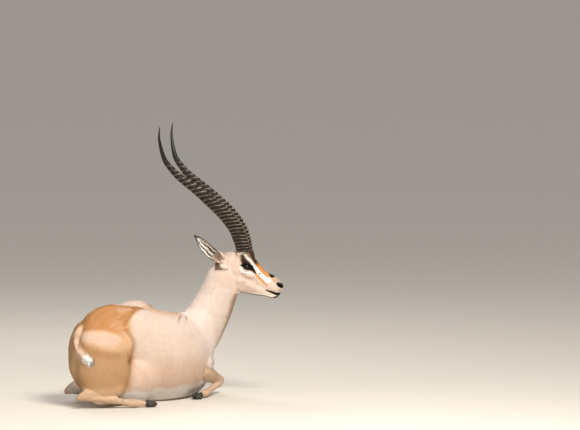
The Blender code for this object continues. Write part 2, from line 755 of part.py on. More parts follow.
# Eyes and horns in the head
open_face(skull)
for side, word in ((-1, "right"), (1, "left")):
    eye = eyeball(side)
    cutter = grown(eye, GAP)
    combine(skull, cutter, "DIFFERENCE")
    bpy.data.objects.remove(cutter)
    finish(eye, "eye_" + word, eye_colour)
keep_largest(skull)
for side, word in ((-1, "right"), (1, "left")):
    spike = horn(side)
    cut_clear(spike, skull)
    finish(spike, "horn_" + word, horn_colour)
ears = {
    "right": ear(-1, (-0.046, -0.044, 0.040), (-0.712, -0.22, 0.667), (0.05, -1.0, -0.30), EAR_LENGTH),
    "left": ear(1, (-0.044, 0.044, 0.040), (-0.38, 0.90, -0.10), (0.75, 0.30, 0.10), EAR_LENGTH),
}
for word, leaf in ears.items():
    cut_clear(leaf, skull, trunk_nodes[0])
    finish(leaf, "ear_" + word, coat_colour)
finish(skull, "head", coat_colour)

# Legs: hip or shoulder, knee joint, hock or knee, fetlock and toe, in the frame of pelvis or chest
pelvis = animal_frame(PELVIS_AT, PELVIS_HEADING)
chest = animal_frame(CHEST_AT, CHEST_HEADING)
haunches = {
    "right": [
        (0.000, -0.050, 0.345, 0.070, 0.034),
        (-0.015, -0.082, 0.290, 0.098, 0.054),
        (-0.030, -0.100, 0.215, 0.112, 0.062),
        (-0.030, -0.108, 0.140, 0.114, 0.066),
        (-0.042, -0.110, 0.072, 0.098, 0.060),
        (-0.062, -0.112, 0.012, 0.064, 0.042),
    ],
    "left": [
        (0.020, 0.040, 0.352, 0.070, 0.034),
        (0.015, 0.074, 0.298, 0.098, 0.056),
        (0.008, 0.096, 0.230, 0.106, 0.064),
        (0.010, 0.106, 0.160, 0.106, 0.064),
        (-0.002, 0.110, 0.095, 0.090, 0.056),
        (-0.018, 0.114, 0.040, 0.056, 0.040),
    ],
}
hind_joints = {
    "right": ((0.050, -0.128, 0.098), (-0.130, -0.130, 0.050), (0.070, -0.168, 0.020), (0.172, -0.168, 0.012)),
    "left": ((0.090, 0.128, 0.125), (-0.075, 0.140, 0.052), (0.120, 0.180, 0.020), (0.222, 0.182, 0.012)),
}
fore_joints = {
    "right": ((0.048, -0.072, 0.180), (-0.030, -0.102, 0.106), (0.162, -0.080, 0.050), (-0.020, -0.112, 0.019), (-0.120, -0.118, 0.012)),
    "left": ((0.050, 0.074, 0.178), (-0.026, 0.104, 0.106), (0.158, 0.076, 0.050), (-0.024, 0.112, 0.019), (-0.124, 0.118, 0.012)),
}
legs = []
for word, sign in (("right", -1), ("left", 1)):
    for kind in ("hind", "fore"):
        if kind == "hind":
            frame, joints = pelvis, hind_joints[word]
            leg = hind_leg(sign, frame, haunches[word], joints)
        else:
            frame, joints = chest, fore_joints[word]
            leg = fore_leg(sign, frame, joints)
        cut_side(leg, floor)
        cut_clear(leg, *trunk_nodes)
        finish(leg, f"leg_{kind}_{word}", coat_colour)
        legs.append(leg)
        order = ("inner", "outer") if word == "left" else ("outer", "inner")
        for place, claw in zip(order, toe_pair(frame, *joints[-2:])):
            cut_side(claw, floor)
            cut_clear(claw, leg, *trunk_nodes)
            finish(claw, f"hoof_{kind}_{word}_{place}", hoof_colour)

tail = tail_body()
for lock in tuft_locks():
    cutters.objects.link(lock)
    combine(tail, lock, "UNION")
    bpy.data.objects.remove(lock)
keep_largest(tail)
cut_clear(tail, *trunk_nodes, *legs)
finish(tail, "tail", white_colour)
centre_on_floor()
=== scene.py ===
"""Looks of a Grant's gazelle buck lying at rest: its coat and markings, eyes, ringed horns and hooves."""

import json
import math

import bmesh
import bpy
import numpy as np
from mathutils import Matrix, Vector, kdtree
from mathutils.bvhtree import BVHTree

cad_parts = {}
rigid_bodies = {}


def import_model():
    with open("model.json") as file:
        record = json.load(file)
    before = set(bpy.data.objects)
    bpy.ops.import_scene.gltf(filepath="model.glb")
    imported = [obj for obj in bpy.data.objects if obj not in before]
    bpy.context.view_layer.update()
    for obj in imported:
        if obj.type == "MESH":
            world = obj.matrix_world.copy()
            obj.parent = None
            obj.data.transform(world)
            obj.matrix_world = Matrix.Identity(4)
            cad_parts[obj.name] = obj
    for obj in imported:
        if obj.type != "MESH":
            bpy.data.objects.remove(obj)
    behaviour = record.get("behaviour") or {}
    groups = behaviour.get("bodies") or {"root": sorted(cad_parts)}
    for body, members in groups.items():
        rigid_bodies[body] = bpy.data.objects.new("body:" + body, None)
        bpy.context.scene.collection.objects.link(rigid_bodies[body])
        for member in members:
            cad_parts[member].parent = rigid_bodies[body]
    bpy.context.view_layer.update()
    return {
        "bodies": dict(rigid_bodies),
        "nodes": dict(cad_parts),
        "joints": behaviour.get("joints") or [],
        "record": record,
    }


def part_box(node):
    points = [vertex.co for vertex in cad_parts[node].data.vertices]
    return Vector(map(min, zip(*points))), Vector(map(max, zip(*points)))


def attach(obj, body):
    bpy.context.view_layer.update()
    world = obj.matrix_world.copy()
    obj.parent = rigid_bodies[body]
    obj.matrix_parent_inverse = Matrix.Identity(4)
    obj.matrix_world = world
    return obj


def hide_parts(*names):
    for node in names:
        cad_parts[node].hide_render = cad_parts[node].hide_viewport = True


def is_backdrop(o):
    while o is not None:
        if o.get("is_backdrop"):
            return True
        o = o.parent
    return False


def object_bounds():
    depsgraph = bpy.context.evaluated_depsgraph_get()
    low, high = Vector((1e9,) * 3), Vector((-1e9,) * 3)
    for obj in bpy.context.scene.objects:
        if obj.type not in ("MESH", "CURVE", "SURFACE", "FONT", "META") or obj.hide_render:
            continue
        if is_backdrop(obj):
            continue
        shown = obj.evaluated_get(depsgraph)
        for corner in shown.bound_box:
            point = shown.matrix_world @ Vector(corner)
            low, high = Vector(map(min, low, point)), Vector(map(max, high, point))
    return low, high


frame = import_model()

# Sizes of the solids, in metres and degrees
HEAD_AT = Vector((0.240, 0.200, 0.511))
HEAD_HEADING = -12.0
HORN_LENGTH = 0.645
HORN_RINGS = 28
HORN_RINGED = 0.80
HORN_LEAN = 0.75
HORN_ALONG = (0.0, 0.12, 0.25, 0.40, 0.55, 0.70, 0.82, 0.92, 1.0)
HORN_DEEP = (0.0268, 0.0285, 0.0272, 0.0232, 0.0182, 0.0130, 0.0086, 0.0050, 0.0014)
HORN_WIDE = (0.0215, 0.0222, 0.0212, 0.0188, 0.0154, 0.0114, 0.0078, 0.0046, 0.0013)
# Centre line of the left horn from root to tip: forward, out and up in the head, millimetres
HORN_LINE = (
    (36, 24, 62), (31.5, 25, 90), (22, 27, 126), (7.4, 31, 164.6), (-18.9, 36, 204.3),
    (-47, 42, 236), (-78.1, 48, 265.3), (-141, 60, 319.8), (-210, 76, 373.3), (-240.2, 84, 402.7),
    (-273.3, 96, 448.9), (-291.5, 112, 526.3), (-289.4, 120, 583),
)
EYE_RADIUS = 0.0165
EAR_LENGTH = 0.153
EAR_ALONG = (0.0, 0.10, 0.25, 0.42, 0.58, 0.72, 0.84, 0.93, 1.0)
EAR_HALF = (0.013, 0.0168, 0.0212, 0.0235, 0.0230, 0.0195, 0.0138, 0.0080, 0.0020)
CHEST_AT = Vector((0.030, 0.225, 0.0))
CHEST_HEADING = 60.0
PELVIS_AT = Vector((-0.300, -0.115, 0.0))
PELVIS_HEADING = 23.0

SKIN_VOXEL = 0.0021
SKIN_TRIANGLES = 192000
MM = 0.001
# Sections of the barrel from the buttocks forward: centre, heading, roll, half width, up and down
BARREL = (
    ((-0.403, -0.193, 0.222), 15, 20, 0.052, 0.080, 0.110),
    ((-0.368, -0.168, 0.228), 18, 22, 0.086, 0.146, 0.170),
    ((-0.290, -0.115, 0.230), 22, 24, 0.108, 0.184, 0.210),
    ((-0.205, -0.060, 0.216), 28, 23, 0.118, 0.192, 0.205),
    ((-0.135, 0.000, 0.197), 38, 17, 0.134, 0.186, 0.205),
    ((-0.070, 0.070, 0.182), 48, 10, 0.148, 0.180, 0.195),
    ((-0.015, 0.150, 0.178), 56, 5, 0.140, 0.168, 0.190),
    ((0.030, 0.225, 0.180), 60, 2, 0.120, 0.155, 0.185),
    ((0.060, 0.285, 0.184), 62, 0, 0.098, 0.136, 0.178),
    ((0.085, 0.335, 0.186), 62, 0, 0.072, 0.098, 0.140),
    ((0.103, 0.368, 0.181), 62, 0, 0.038, 0.056, 0.080),
)
# Sections of the neck from the chest up: centre, heading, half width, half depth
NECK = (
    ((0.048, 0.280, 0.180), 58, 0.080, 0.112),
    ((0.082, 0.268, 0.256), 52, 0.086, 0.122),
    ((0.124, 0.250, 0.322), 40, 0.073, 0.100),
    ((0.152, 0.235, 0.378), 26, 0.064, 0.084),
    ((0.173, 0.220, 0.428), 10, 0.059, 0.076),
    ((0.190, 0.208, 0.472), -2, 0.055, 0.074),
    ((0.204, 0.204, 0.515), -10, 0.050, 0.062),
    ((0.216, 0.202, 0.550), -12, 0.040, 0.045),
)
# Middle and reach of each place where two masses of flesh are smoothed together
EASED = (
    ((0.075, 0.255, 0.275), (0.13, 0.13, 0.085)),
    ((-0.285, -0.205, 0.305), (0.11, 0.06, 0.05)),
    ((-0.310, 0.020, 0.335), (0.10, 0.07, 0.06)),
    ((-0.095, -0.070, 0.130), (0.07, 0.08, 0.10)),
    ((-0.395, -0.200, 0.170), (0.05, 0.05, 0.10)),
)
# Side view of the head, nose to the front: top point, bottom point and half width, millimetres
SKULL = (
    ((-76, 42), (-62, -30), 34),
    ((-52, 66), (-42, -42), 45),
    ((-8, 76), (0, -48), 48),
    ((45, 74), (38, -40), 47),
    ((82, 42), (64, -48), 39),
    ((100, 19), (82, -62), 33),
    ((120, -2), (102, -74), 29),
    ((140, -12), (122, -81), 27),
    ((160, -21), (141, -86), 26),
    ((176, -33), (160, -89), 24),
    ((189, -51), (178, -90), 20),
    ((195, -68), (190, -88), 13),
)
JAW = (
    ((-28, -20), (-22, -76), 32),
    ((10, -30), (14, -90), 34),
    ((48, -45), (50, -96), 31),
    ((80, -60), (80, -101), 26),
    ((110, -74), (112, -107), 22),
    ((136, -82), (138, -113), 19),
    ((156, -88), (156, -114), 17),
    ((171, -90), (169, -108), 15),
    ((181, -91), (179, -101), 10),
)
CHEEK = (
    ((-30, 5), (-24, -60), 37),
    ((10, 10), (12, -80), 41),
    ((45, -8), (45, -88), 39),
    ((75, -30), (72, -94), 33),
    ((100, -50), (98, -98), 27),
    ((122, -65), (120, -100), 21),
    ((134, -74), (134, -96), 14),
)
# Widths of each haunch down its length, and joints of each leg, in the frame of pelvis or chest
HAUNCHES = {
    "right": [
        (0.000, -0.050, 0.345, 0.070, 0.034),
        (-0.015, -0.082, 0.290, 0.098, 0.054),
        (-0.030, -0.100, 0.215, 0.112, 0.062),
        (-0.030, -0.108, 0.140, 0.114, 0.066),
        (-0.042, -0.110, 0.072, 0.098, 0.060),
        (-0.062, -0.112, 0.012, 0.064, 0.042),
    ],
    "left": [
        (0.020, 0.040, 0.352, 0.070, 0.034),
        (0.015, 0.074, 0.298, 0.098, 0.056),
        (0.008, 0.096, 0.230, 0.106, 0.064),
        (0.010, 0.106, 0.160, 0.106, 0.064),
        (-0.002, 0.110, 0.095, 0.090, 0.056),
        (-0.018, 0.114, 0.040, 0.056, 0.040),
    ],
}
HIND_JOINTS = {
    "right": ((0.050, -0.128, 0.098), (-0.130, -0.130, 0.050), (0.070, -0.168, 0.020),
        (0.172, -0.168, 0.012)),
    "left": ((0.090, 0.128, 0.125), (-0.075, 0.140, 0.052), (0.120, 0.180, 0.020), (0.222, 0.182, 0.012)),
}
FORE_JOINTS = {
    "right": (
        (0.048, -0.072, 0.180), (-0.030, -0.102, 0.106), (0.162, -0.080, 0.050), (-0.020, -0.112, 0.019),
        (-0.120, -0.118, 0.012)),
    "left": (
        (0.050, 0.074, 0.178), (-0.026, 0.104, 0.106), (0.158, 0.076, 0.050), (-0.024, 0.112, 0.019),
        (-0.124, 0.118, 0.012)),
}
# Path of the tail with its half width and half thickness
TAIL = (
    (-0.348, -0.166, 0.322, 0.015, 0.013),
    (-0.374, -0.198, 0.317, 0.0165, 0.0135),
    (-0.391, -0.216, 0.297, 0.016, 0.013),
    (-0.3965, -0.220, 0.266, 0.0145, 0.012),
    (-0.391, -0.244, 0.238, 0.0130, 0.011),
    (-0.376, -0.280, 0.2175, 0.0125, 0.0105),
    (-0.355, -0.302, 0.199, 0.0105, 0.0095),
    (-0.338, -0.307, 0.190, 0.0065, 0.006),
)
# Each ear's root, the way that it points and the way that it opens, in the head
EARS = {
    "right": ((-0.046, -0.044, 0.040), (-0.712, -0.22, 0.667), (0.05, -1.0, -0.30)),
    "left": ((-0.044, 0.044, 0.040), (-0.38, 0.90, -0.10), (0.75, 0.30, 0.10)),
}
EAR_TRIANGLES = 9000
# Coat colours
NECK_PALE = (0.80, 0.675, 0.59)
FLANK = (0.78, 0.62, 0.51)
FLANK_LOW = (0.70, 0.50, 0.37)
CROUP = (0.57, 0.275, 0.105)
CROUP_EDGE = (0.47, 0.215, 0.075)
CROUP_PALE = (0.72, 0.44, 0.26)
STRIP = (0.80, 0.60, 0.50)
THIGH = (0.70, 0.45, 0.26)
PAINTED_SHEEN = (0.76, 0.545, 0.41)
THIGH_SHADE_BROWN = (0.44, 0.24, 0.105)
# Near-black brown: painted shade deep in the crease between thigh and flank, and dark lines at the buttock's
# edge beside the tail
CREASE = (0.24, 0.115, 0.045)
LEG = (0.66, 0.45, 0.29)
TAIL_TAN = (0.74, 0.51, 0.36)
# Brown laid as painted shade on the front of the neck and under the brisket, and used for the neck's freckles
# and a line along the jaw
SHADE_AND_MARK_BROWN = (0.40, 0.25, 0.16)
WHITE = (0.86, 0.82, 0.77)
FACE_PALE = (0.76, 0.60, 0.495)
WHITE_FACE = (0.90, 0.885, 0.86)
RUFOUS = (0.62, 0.27, 0.07)
RUFOUS_DARK = (0.26, 0.105, 0.035)
TAN = (0.48, 0.32, 0.20)
GREY = (0.42, 0.38, 0.36)
# Painted shadow cast by the right ear on the nape
EAR_SHADOW = (0.10, 0.065, 0.045)
DARK = (0.022, 0.014, 0.010)
BLACK = (0.006, 0.005, 0.0045)
EAR_BACK = (0.42, 0.32, 0.24)
EAR_HAIR = (0.80, 0.75, 0.69)
EAR_SKIN = (0.022, 0.015, 0.012)

# Folds of the hide on the right side's sheet, in millimetres: line, depth and half width
FOLDS = (
    ([(-150, 381), (-168, 365), (-184, 343), (-196, 323), (-200, 295), (-184, 271), (-170, 245),
        (-168, 227),
      (-176, 200)], 5.0, 11.0),
    ([(-204, 386), (-172, 381), (-116, 387)], 2.5, 8.0),
    ([(-380, 250), (-378, 225), (-362, 200), (-336, 180)], 3.0, 9.0),
)
# Wrinkles at the root of the neck: line, half widths and strength
WRINKLES = (
    ([(24, 363), (14, 343), (8, 327), (8, 311)], (3, 3.5, 3, 1), 1.0),
    ([(30, 363), (36, 347), (40, 331), (40, 318)], (3, 3.5, 2.5, 1), 1.0),
    ([(50, 357), (56, 343), (60, 328)], (2, 2, 1), 0.4),
    ([(0, 351), (-14, 339), (-24, 325)], (2, 2, 1), 0.35),
    ([(64, 352), (72, 340), (80, 326)], (1.5, 1.5, 1), 0.25),
)
# The pattern of the right side is drawn on an upright sheet that leans back by this much, in degrees
SHEET_LEAN = 5.0
SHEET_MIDDLE = 0.751
COAT_TUFTS = 126000
CAMERA_AIM = Vector((0.456, 0.0, 0.751))
CAMERA_TILT = 5.0
CAMERA_AWAY = 40.0
CAMERA_LENS = 620.0
# Bulges of the trunk: name, middle, radii and turn
TRUNK_BULGES = (
    ("paunch", (-0.168, 0.040, 0.252), (0.134, 0.106, 0.154), (0, 0, 34)),
    ("hip_right", (-0.190, -0.125, 0.302), (0.090, 0.045, 0.058), (0, 0, 25)),
    ("neck_root", (0.092, 0.190, 0.303), (0.060, 0.042, 0.046), (0, 0, 45)),
    ("groin", (-0.190, -0.125, 0.100), (0.125, 0.078, 0.105), (0, 0, 28)),
)
# Path of the left shoulder blade in the chest, with its half width and half thickness
BLADE = (
    (-0.050, 0.056, 0.318, 0.030, 0.042),
    (-0.012, 0.073, 0.265, 0.038, 0.062),
    (0.026, 0.074, 0.212, 0.038, 0.064),
    (0.036, 0.070, 0.168, 0.036, 0.054),
    (0.022, 0.068, 0.120, 0.032, 0.044),
)
# Bulges on the left of the head, mirrored for the right: name, middle, radii and forward lean
HEAD_BULGES = (
    ("brow", (0.048, 0.036, 0.034), (0.032, 0.016, 0.016), 30),
    ("cheekbone", (0.050, 0.036, -0.012), (0.040, 0.012, 0.012), 18),
    ("pedicle", (0.034, 0.026, 0.066), (0.031, 0.024, 0.020), 0),
    ("nose_wing", (0.178, 0.015, -0.062), (0.015, 0.010, 0.013), 40),
    ("ear_root", (-0.040, 0.038, 0.038), (0.020, 0.014, 0.018), 0),
)
# The parting of the lips in the side view, and the sections of the dark mouth within, in millimetres
MOUTH_LINE = (
    (123, -78.5), (146, -85.5), (166, -90.2), (205, -89.0), (205, -95.5), (166, -93.0), (146, -87.5),
)
INNER_MOUTH = (
    ((112, -70), (112, -96), 14),
    ((140, -78), (140, -98), 14),
    ((165, -84), (165, -100), 13),
    ((183, -86), (181, -97), 8),
)
# Shapes of the legs: from one joint, to another, share of the way, half width and half thickness
GASKIN = (
    (0, 1, 0, 0.034, 0.046), (0, 1, 0.3, 0.040, 0.048), (0, 1, 0.65, 0.028, 0.032),
    (1, 0, 0.08, 0.019, 0.025),
)
HIND_CANNON = (
    (1, 2, 0, 0.019, 0.025), (1, 2, 0.2, 0.015, 0.018), (1, 2, 0.75, 0.012, 0.014),
    (1, 2, 0.95, 0.017, 0.018),
    (2, 3, 0, 0.018, 0.019), (2, 3, 0.35, 0.015, 0.015), (2, 3, 0.62, 0.019, 0.016),
)
UPPER_ARM = ((0, 1, 0.25, 0.040, 0.048), (0, 1, 0.7, 0.038, 0.046), (1, 2, 0, 0.030, 0.036))
FOREARM = (
    (1, 2, 0, 0.027, 0.034), (1, 2, 0.25, 0.028, 0.034), (1, 2, 0.7, 0.019, 0.022),
    (1, 2, 0.92, 0.021, 0.022), (2, 3, 0, 0.021, 0.022),
)
FORE_CANNON = (
    (2, 3, 0, 0.020, 0.021), (2, 3, 0.15, 0.016, 0.017), (2, 3, 0.75, 0.0115, 0.0125),
    (2, 3, 0.95, 0.017, 0.017),
    (3, 4, 0, 0.018, 0.018), (3, 4, 0.35, 0.014, 0.014), (3, 4, 0.62, 0.018, 0.015),
)
# Hair of the head: table of sections, its first and last, radius, hair length and coat depth
HEAD_HAIR = (
    (SKULL, 0, 4, 0.045, 0.0085, 0.0010),
    (SKULL, 4, 8, 0.034, 0.0060, 0.0007),
    (SKULL, 8, 12, 0.024, 0.0035, 0.0004),
    (JAW, 0, 5, 0.026, 0.0080, 0.0009),
    (JAW, 5, 9, 0.018, 0.0040, 0.0005),
)
# Hair from each joint of a leg to the next: shares of the way, radius, hair length and coat depth
HIND_HAIR = (
    ((0, 0.3, 0.6, 0.9), 0.034, 0.0110, 0.0015),
    ((0.1, 0.4, 0.7, 1), 0.016, 0.0070, 0.0009),
    ((0.2, 0.6), 0.015, 0.0055, 0.0008),
)
FORE_HAIR = (
    ((0.3, 0.9), 0.038, 0.0130, 0.0018),
    ((0.1, 0.4, 0.7, 1), 0.024, 0.0085, 0.0011),
    ((0.1, 0.4, 0.7, 1), 0.014, 0.0065, 0.0008),
    ((0.2, 0.6), 0.015, 0.0055, 0.0008),
)
EAR_HAIR_LENGTH = 0.0070
EAR_COAT_DEPTH = 0.0003
# Steps that graded smoothing and thinning go in, and passes of smoothing at the joins
EASED_STEPS = 8
EASED_PASSES = 130
COARSE_STEPS = 6
UNWRAP_RATIO = 0.06
# The coat's tufts and parts, and the most triangles in one mesh of them
COAT_PIECE_TRIANGLES = 195000
COAT_PARTS = ("head", "neck", "chest", "barrel", "rump")
COAT_SEED = 11
HORN_SEED = 5
STREAK_SEED = 21
STREAKS = 70
FRECKLE_SEED = 8
SMALL_FRECKLES = 90
WRINKLE_DEPTH = 2.6
FACE_SHEET = 32
# The larger freckles of the neck on the sheet: place and size, in millimetres
FRECKLES = (
    (216, 403, 3.2), (219, 394, 2.8), (213, 410, 2.2), (225, 398, 2.0), (196, 343, 2.6), (201, 335, 2.4),
    (189, 339, 2.0), (205, 372, 1.8), (211, 383, 2.0), (186, 323, 1.8), (150, 455, 2.0), (128, 462, 1.8),
    (192, 467, 2.0), (162, 437, 1.8),
)
FAR_HIP = (
    (-300, 400), (-256, 420), (-204, 440), (-140, 440), (-84, 405), (-96, 391), (-144, 389), (-172, 385),
    (-204, 389), (-240, 393),
)
CROUP_ZONE = (
    (-430, 283), (-400, 331), (-360, 379), (-288, 419), (-204, 427), (-192, 399), (-144, 395), (-104, 395),
    (-108, 379), (-140, 375), (-160, 363), (-180, 335), (-192, 315), (-184, 291), (-192, 271), (-232, 277),
    (-284, 289), (-332, 291), (-364, 283), (-384, 269), (-404, 279),
)
# Marks, each over those before it: colour, strength, softness, half widths and line in millimetres. Those
# without half widths are patches. A last word names a mask.
CROUP_MARKS = (
    (THIGH, 1, 40, (), ((-440, 330), (-180, 330), (-168, 250), (-170, 170), (-178, 120), (-200, -40),
        (-440, -40))),
    (CROUP, 1, 22, (), CROUP_ZONE),
    # Darker brown along the croup's rear edge: painted shade where it turns away from the light
    (CROUP_EDGE, 0.55, 18, (16, 14, 10, 8, 5), ((-406, 290), (-392, 315), (-362, 345), (-332, 368),
        (-290, 384))),
    (CROUP_EDGE, 0.45, 20, (12, 12, 9, 8, 6), ((-400, 300), (-372, 283), (-340, 300), (-300, 306),
        (-268, 315))),
    (CROUP_PALE, 0.8, 12, (), ((-238, 381), (-180, 379), (-176, 372), (-206, 357), (-232, 365))),
    (CROUP_PALE, 0.5, 26, (), ((-250, 340), (-216, 332), (-200, 300), (-214, 290), (-250, 300),
        (-268, 318))),
    (CROUP, 0.8, 8, (4, 6), ((-192, 363), (-228, 335))),
)
THIGH_MARKS = (
    (CROUP_EDGE, 0.75, 5, (2, 3, 5, 2), ((-276, 391), (-204, 385), (-172, 381), (-116, 387))),
    # Painted sheen where the thigh's bulge catches the light
    (PAINTED_SHEEN, 1, 30, (), (
        (-376, 277), (-344, 285), (-284, 283), (-236, 270), (-216, 252), (-224, 238), (-256, 228),
            (-304, 233),
        (-344, 245), (-374, 250))),
    (CROUP_PALE, 0.7, 24, (), ((-224, 285), (-184, 287), (-172, 260), (-168, 225), (-196, 225),
        (-210, 250))),
    # Brown of the lower thigh, deepened by painted shade where the thigh turns under
    (THIGH_SHADE_BROWN, 0.68, 34, (), (
        (-392, 247), (-360, 243), (-324, 229), (-296, 216), (-256, 205), (-204, 208), (-176, 220),
            (-170, 150),
        (-180, 60), (-400, 60))),
    (THIGH_SHADE_BROWN, 0.8, 20, (8, 13, 16, 14, 10), ((-376, 240), (-364, 222), (-334, 206), (-290, 194),
        (-230, 190))),
    (CROUP_EDGE, 0.85, 6, (3, 6, 6, 6, 5, 2), (
        (-104, 388), (-152, 379), (-168, 365), (-184, 343), (-196, 323), (-208, 311))),
    # Painted shade at the top of the crease between thigh and flank
    (CREASE, 0.55, 5, (3, 3), ((-150, 381), (-172, 379))),
    # Painted shade along the thigh's front edge, where it turns away from the light
    (THIGH_SHADE_BROWN, 0.75, 10, (4, 5, 6, 6, 7, 9), (
        (-200, 291), (-184, 271), (-172, 251), (-168, 227), (-176, 203), (-180, 160))),
    # Painted shade at the foot of that crease
    (CREASE, 0.8, 8, (2, 5, 7), ((-172, 212), (-178, 190), (-186, 165))),
    (THIGH, 1, 14, (), ((-440, 262), (-396, 268), (-384, 250), (-382, 205), (-396, 120), (-450, 120))),
    # Dark lines at the buttock's edge beside the tail
    (CREASE, 0.85, 6, (3, 4, 2), ((-408, 303), (-410, 285), (-418, 259))),
    (CREASE, 0.8, 8, (5, 2), ((-404, 297), (-396, 294))),
)
BACK_MARKS = (
    (CROUP_PALE, 0.7, 24, (15, 15, 14, 10, 5), ((-124, 395), (-84, 375), (-44, 364), (-16, 356),
        (8, 354)), "near"),
    (CROUP, 0.6, 6, (3, 4, 3, 3, 2), ((-124, 399), (-84, 380), (-44, 370), (-16, 361), (4, 357)), "near"),
)
FACE_MARKS = (
    (WHITE, 0.9, 5, (), ((10, -82), (60, -86), (125, -92), (150, -99), (165, -112), (60, -106),
        (15, -100))),
    (SHADE_AND_MARK_BROWN, 0.7, 2.5, (0.6, 1.4, 0.8, 1.6, 1.2), ((41, -82), (60, -80), (82, -81), (121, -90),
        (150, -94))),
    # Painted shade along the jaw's underside
    (DARK, 0.7, 3, (2, 2.6, 2.4, 2.4, 3, 3), (
        (23, -86), (53, -91), (89, -96), (126, -99), (153, -107), (173, -102))),
    (RUFOUS, 0.5, 6, (4, 2), ((5, 70), (5, 35))),
    (RUFOUS, 0.4, 6, (4, 2), ((-28, 60), (-28, 30))),
    (RUFOUS, 0.35, 5, (3, 1.5), ((16, 74), (17, 58))),
    (TAN, 0.35, 8, (5, 5), ((28, -46), (48, -47))),
    (TAN, 0.35, 8, (4, 4), ((75, -53), (95, -54))),
    (TAN, 0.3, 9, (6, 6), ((55, -68), (85, -72))),
    (RUFOUS, 1, 4, (), (
        (88, 78), (70, 50), (87, 18), (103, 0), (117, -15), (127, -24), (142, -29), (150, -14), (150, 0),
        (125, 34), (104, 62))),
    (RUFOUS_DARK, 0.75, 5, (), (
        (40, 95), (38, 76), (54, 60), (72, 42), (86, 25), (95, 20), (104, 30), (98, 66), (90, 95))),
    (DARK, 0.9, 6, (), (
        (66, 95), (60, 68), (66, 58), (74, 44), (83, 31), (90, 27), (94, 48), (97, 70), (94, 95))),
    (WHITE_FACE, 1, 3, (), (
        (30, 76), (36, 76), (52, 59), (70, 40), (86, 22), (102, 4), (116, -11), (127, -20),
            (141, -26), (149, -33),
        (145, -44), (135, -48), (124, -42), (113, -30), (101, -14), (86, 5), (79, 17), (67, 33),
            (54, 47), (42, 62))),
    (TAN, 0.8, 6, (), ((148, -22), (176, -18), (196, -40), (186, -50), (168, -50), (156, -40))),
    (GREY, 0.45, 7, (), ((172, -28), (190, -32), (196, -44), (182, -48), (172, -42))),
    (RUFOUS, 0.9, 4, (4.5, 5.5, 5, 2.5), ((89, -15), (105, -30), (120, -44), (134, -59))),
    (RUFOUS, 0.35, 7, (2, 3, 1), ((96, -22), (88, -34), (92, -46))),
    (BLACK, 1, 3, (), (
        (134, 6), (139, -6), (144, -18), (150, -26), (159, -25), (168, -19), (178, -18), (178, -9),
            (160, -1),
        (150, 9))),
    (BLACK, 1, 2, (2.8, 2.8), ((101, -9), (104, -9)), "beside"),
    (DARK, 0.98, 4, (), (
        (22, 66), (36, 68), (43, 56), (50, 46), (60, 38), (68, 30), (60, 27), (40, 27), (30, 27),
            (25, 44)), "beside"),
    (TAN, 0.6, 6, (2, 3, 1.5), ((22, 26), (25, 50), (28, 66))),
    (WHITE_FACE, 0.92, 4, (3, 7, 6, 3), ((20, 14), (33, 2), (48, -5), (62, -5))),
    (TAN, 0.7, 4, (2.5, 2.5), ((30, -10), (50, -12))),
    (BLACK, 1, 2.5, (), (
        (22, 23), (31, 29), (42, 33), (54, 33), (66, 29), (75, 22), (81, 10), (88, -3), (90, -13), (81, -9),
        (72, -1), (60, 4), (48, 6), (36, 13)), "beside"),
    (BLACK, 1, 3.5, (), (
        (171, -47), (177, -42), (190, -46), (206, -54), (206, -66), (192, -67), (180, -62), (173, -56))),
    (BLACK, 1, 3, (1.5, 4.5, 6, 7), ((128, -75), (150, -83), (170, -90), (196, -93))),
    (DARK, 0.8, 5, (4, 5), ((166, -104), (186, -100))),
    (GREY, 0.6, 6, (6, 6), ((186, -78), (198, -74))),
    # Painted shadow of the ear on the right side of the nape
    (EAR_SHADOW, 0.92, 4, (), (
        (-103, 0), (-83, 35), (-63, 33), (-58, 15), (-46, 8), (-32, 6), (-26, 14), (-30, 2),
            (-58, 1)), "behind_jaw"),
    (WHITE, 0.6, 4, (3, 5, 4), ((-52, 22), (-42, 23), (-36, 34))),
)
FLOOR = (0.76, 0.70, 0.61)
# Lamps: name, place, size, power and colour
LAMPS = (
    ("key", (1.2, -2.9, 3.2), 1.2, 188.0, (1.0, 0.965, 0.92)),
    ("fill", (-3.0, -2.8, 1.8), 2.4, 20.0, (0.97, 0.985, 1.0)),
    ("back", (-0.8, 2.4, 3.2), 1.8, 40.0, (1.0, 0.97, 0.93)),
)


def animal_frame(origin, heading, roll=0.0):
    """Axes of a part of the animal: x forward, y to its left, z up. Roll lifts its left side."""
    turn = Matrix.Rotation(math.radians(heading), 4, "Z")
    lean = Matrix.Rotation(math.radians(roll), 4, "X")
    return Matrix.Translation(origin) @ turn @ lean


def shares_along(places):
    """How far along a bent line each of its points is, from 0 to 1."""
    steps = np.linalg.norm(np.diff(places, axis=0), axis=1)
    reach = np.concatenate([[0.0], np.cumsum(steps)])
    return reach / reach[-1]


def smooth_between(values, where):
    """Catmull-Rom through rows of values, read at places 0 .. count - 1."""
    values = np.asarray(values, float)
    last = len(values) - 1
    first = np.clip(np.floor(where).astype(int), 0, last - 1)
    t = (where - first)[:, None]
    p1, p2 = values[first], values[first + 1]
    before = values[np.maximum(first - 1, 0)]
    after = values[np.minimum(first + 2, last)]
    p0 = np.where((first > 0)[:, None], before, 2 * p1 - p2)
    p3 = np.where((first + 2 <= last)[:, None], after, 2 * p2 - p1)
    square = (2 * p0 - 5 * p1 + 4 * p2 - p3) * t ** 2
    cube = (3 * p1 - p0 - 3 * p2 + p3) * t ** 3
    return 0.5 * (2 * p1 + (p2 - p0) * t + square + cube)


def section(centre, left, up, down):
    """One cross section: its centre, and arrows to its left, top and bottom edges."""
    return [*centre, *left, *up, *down]


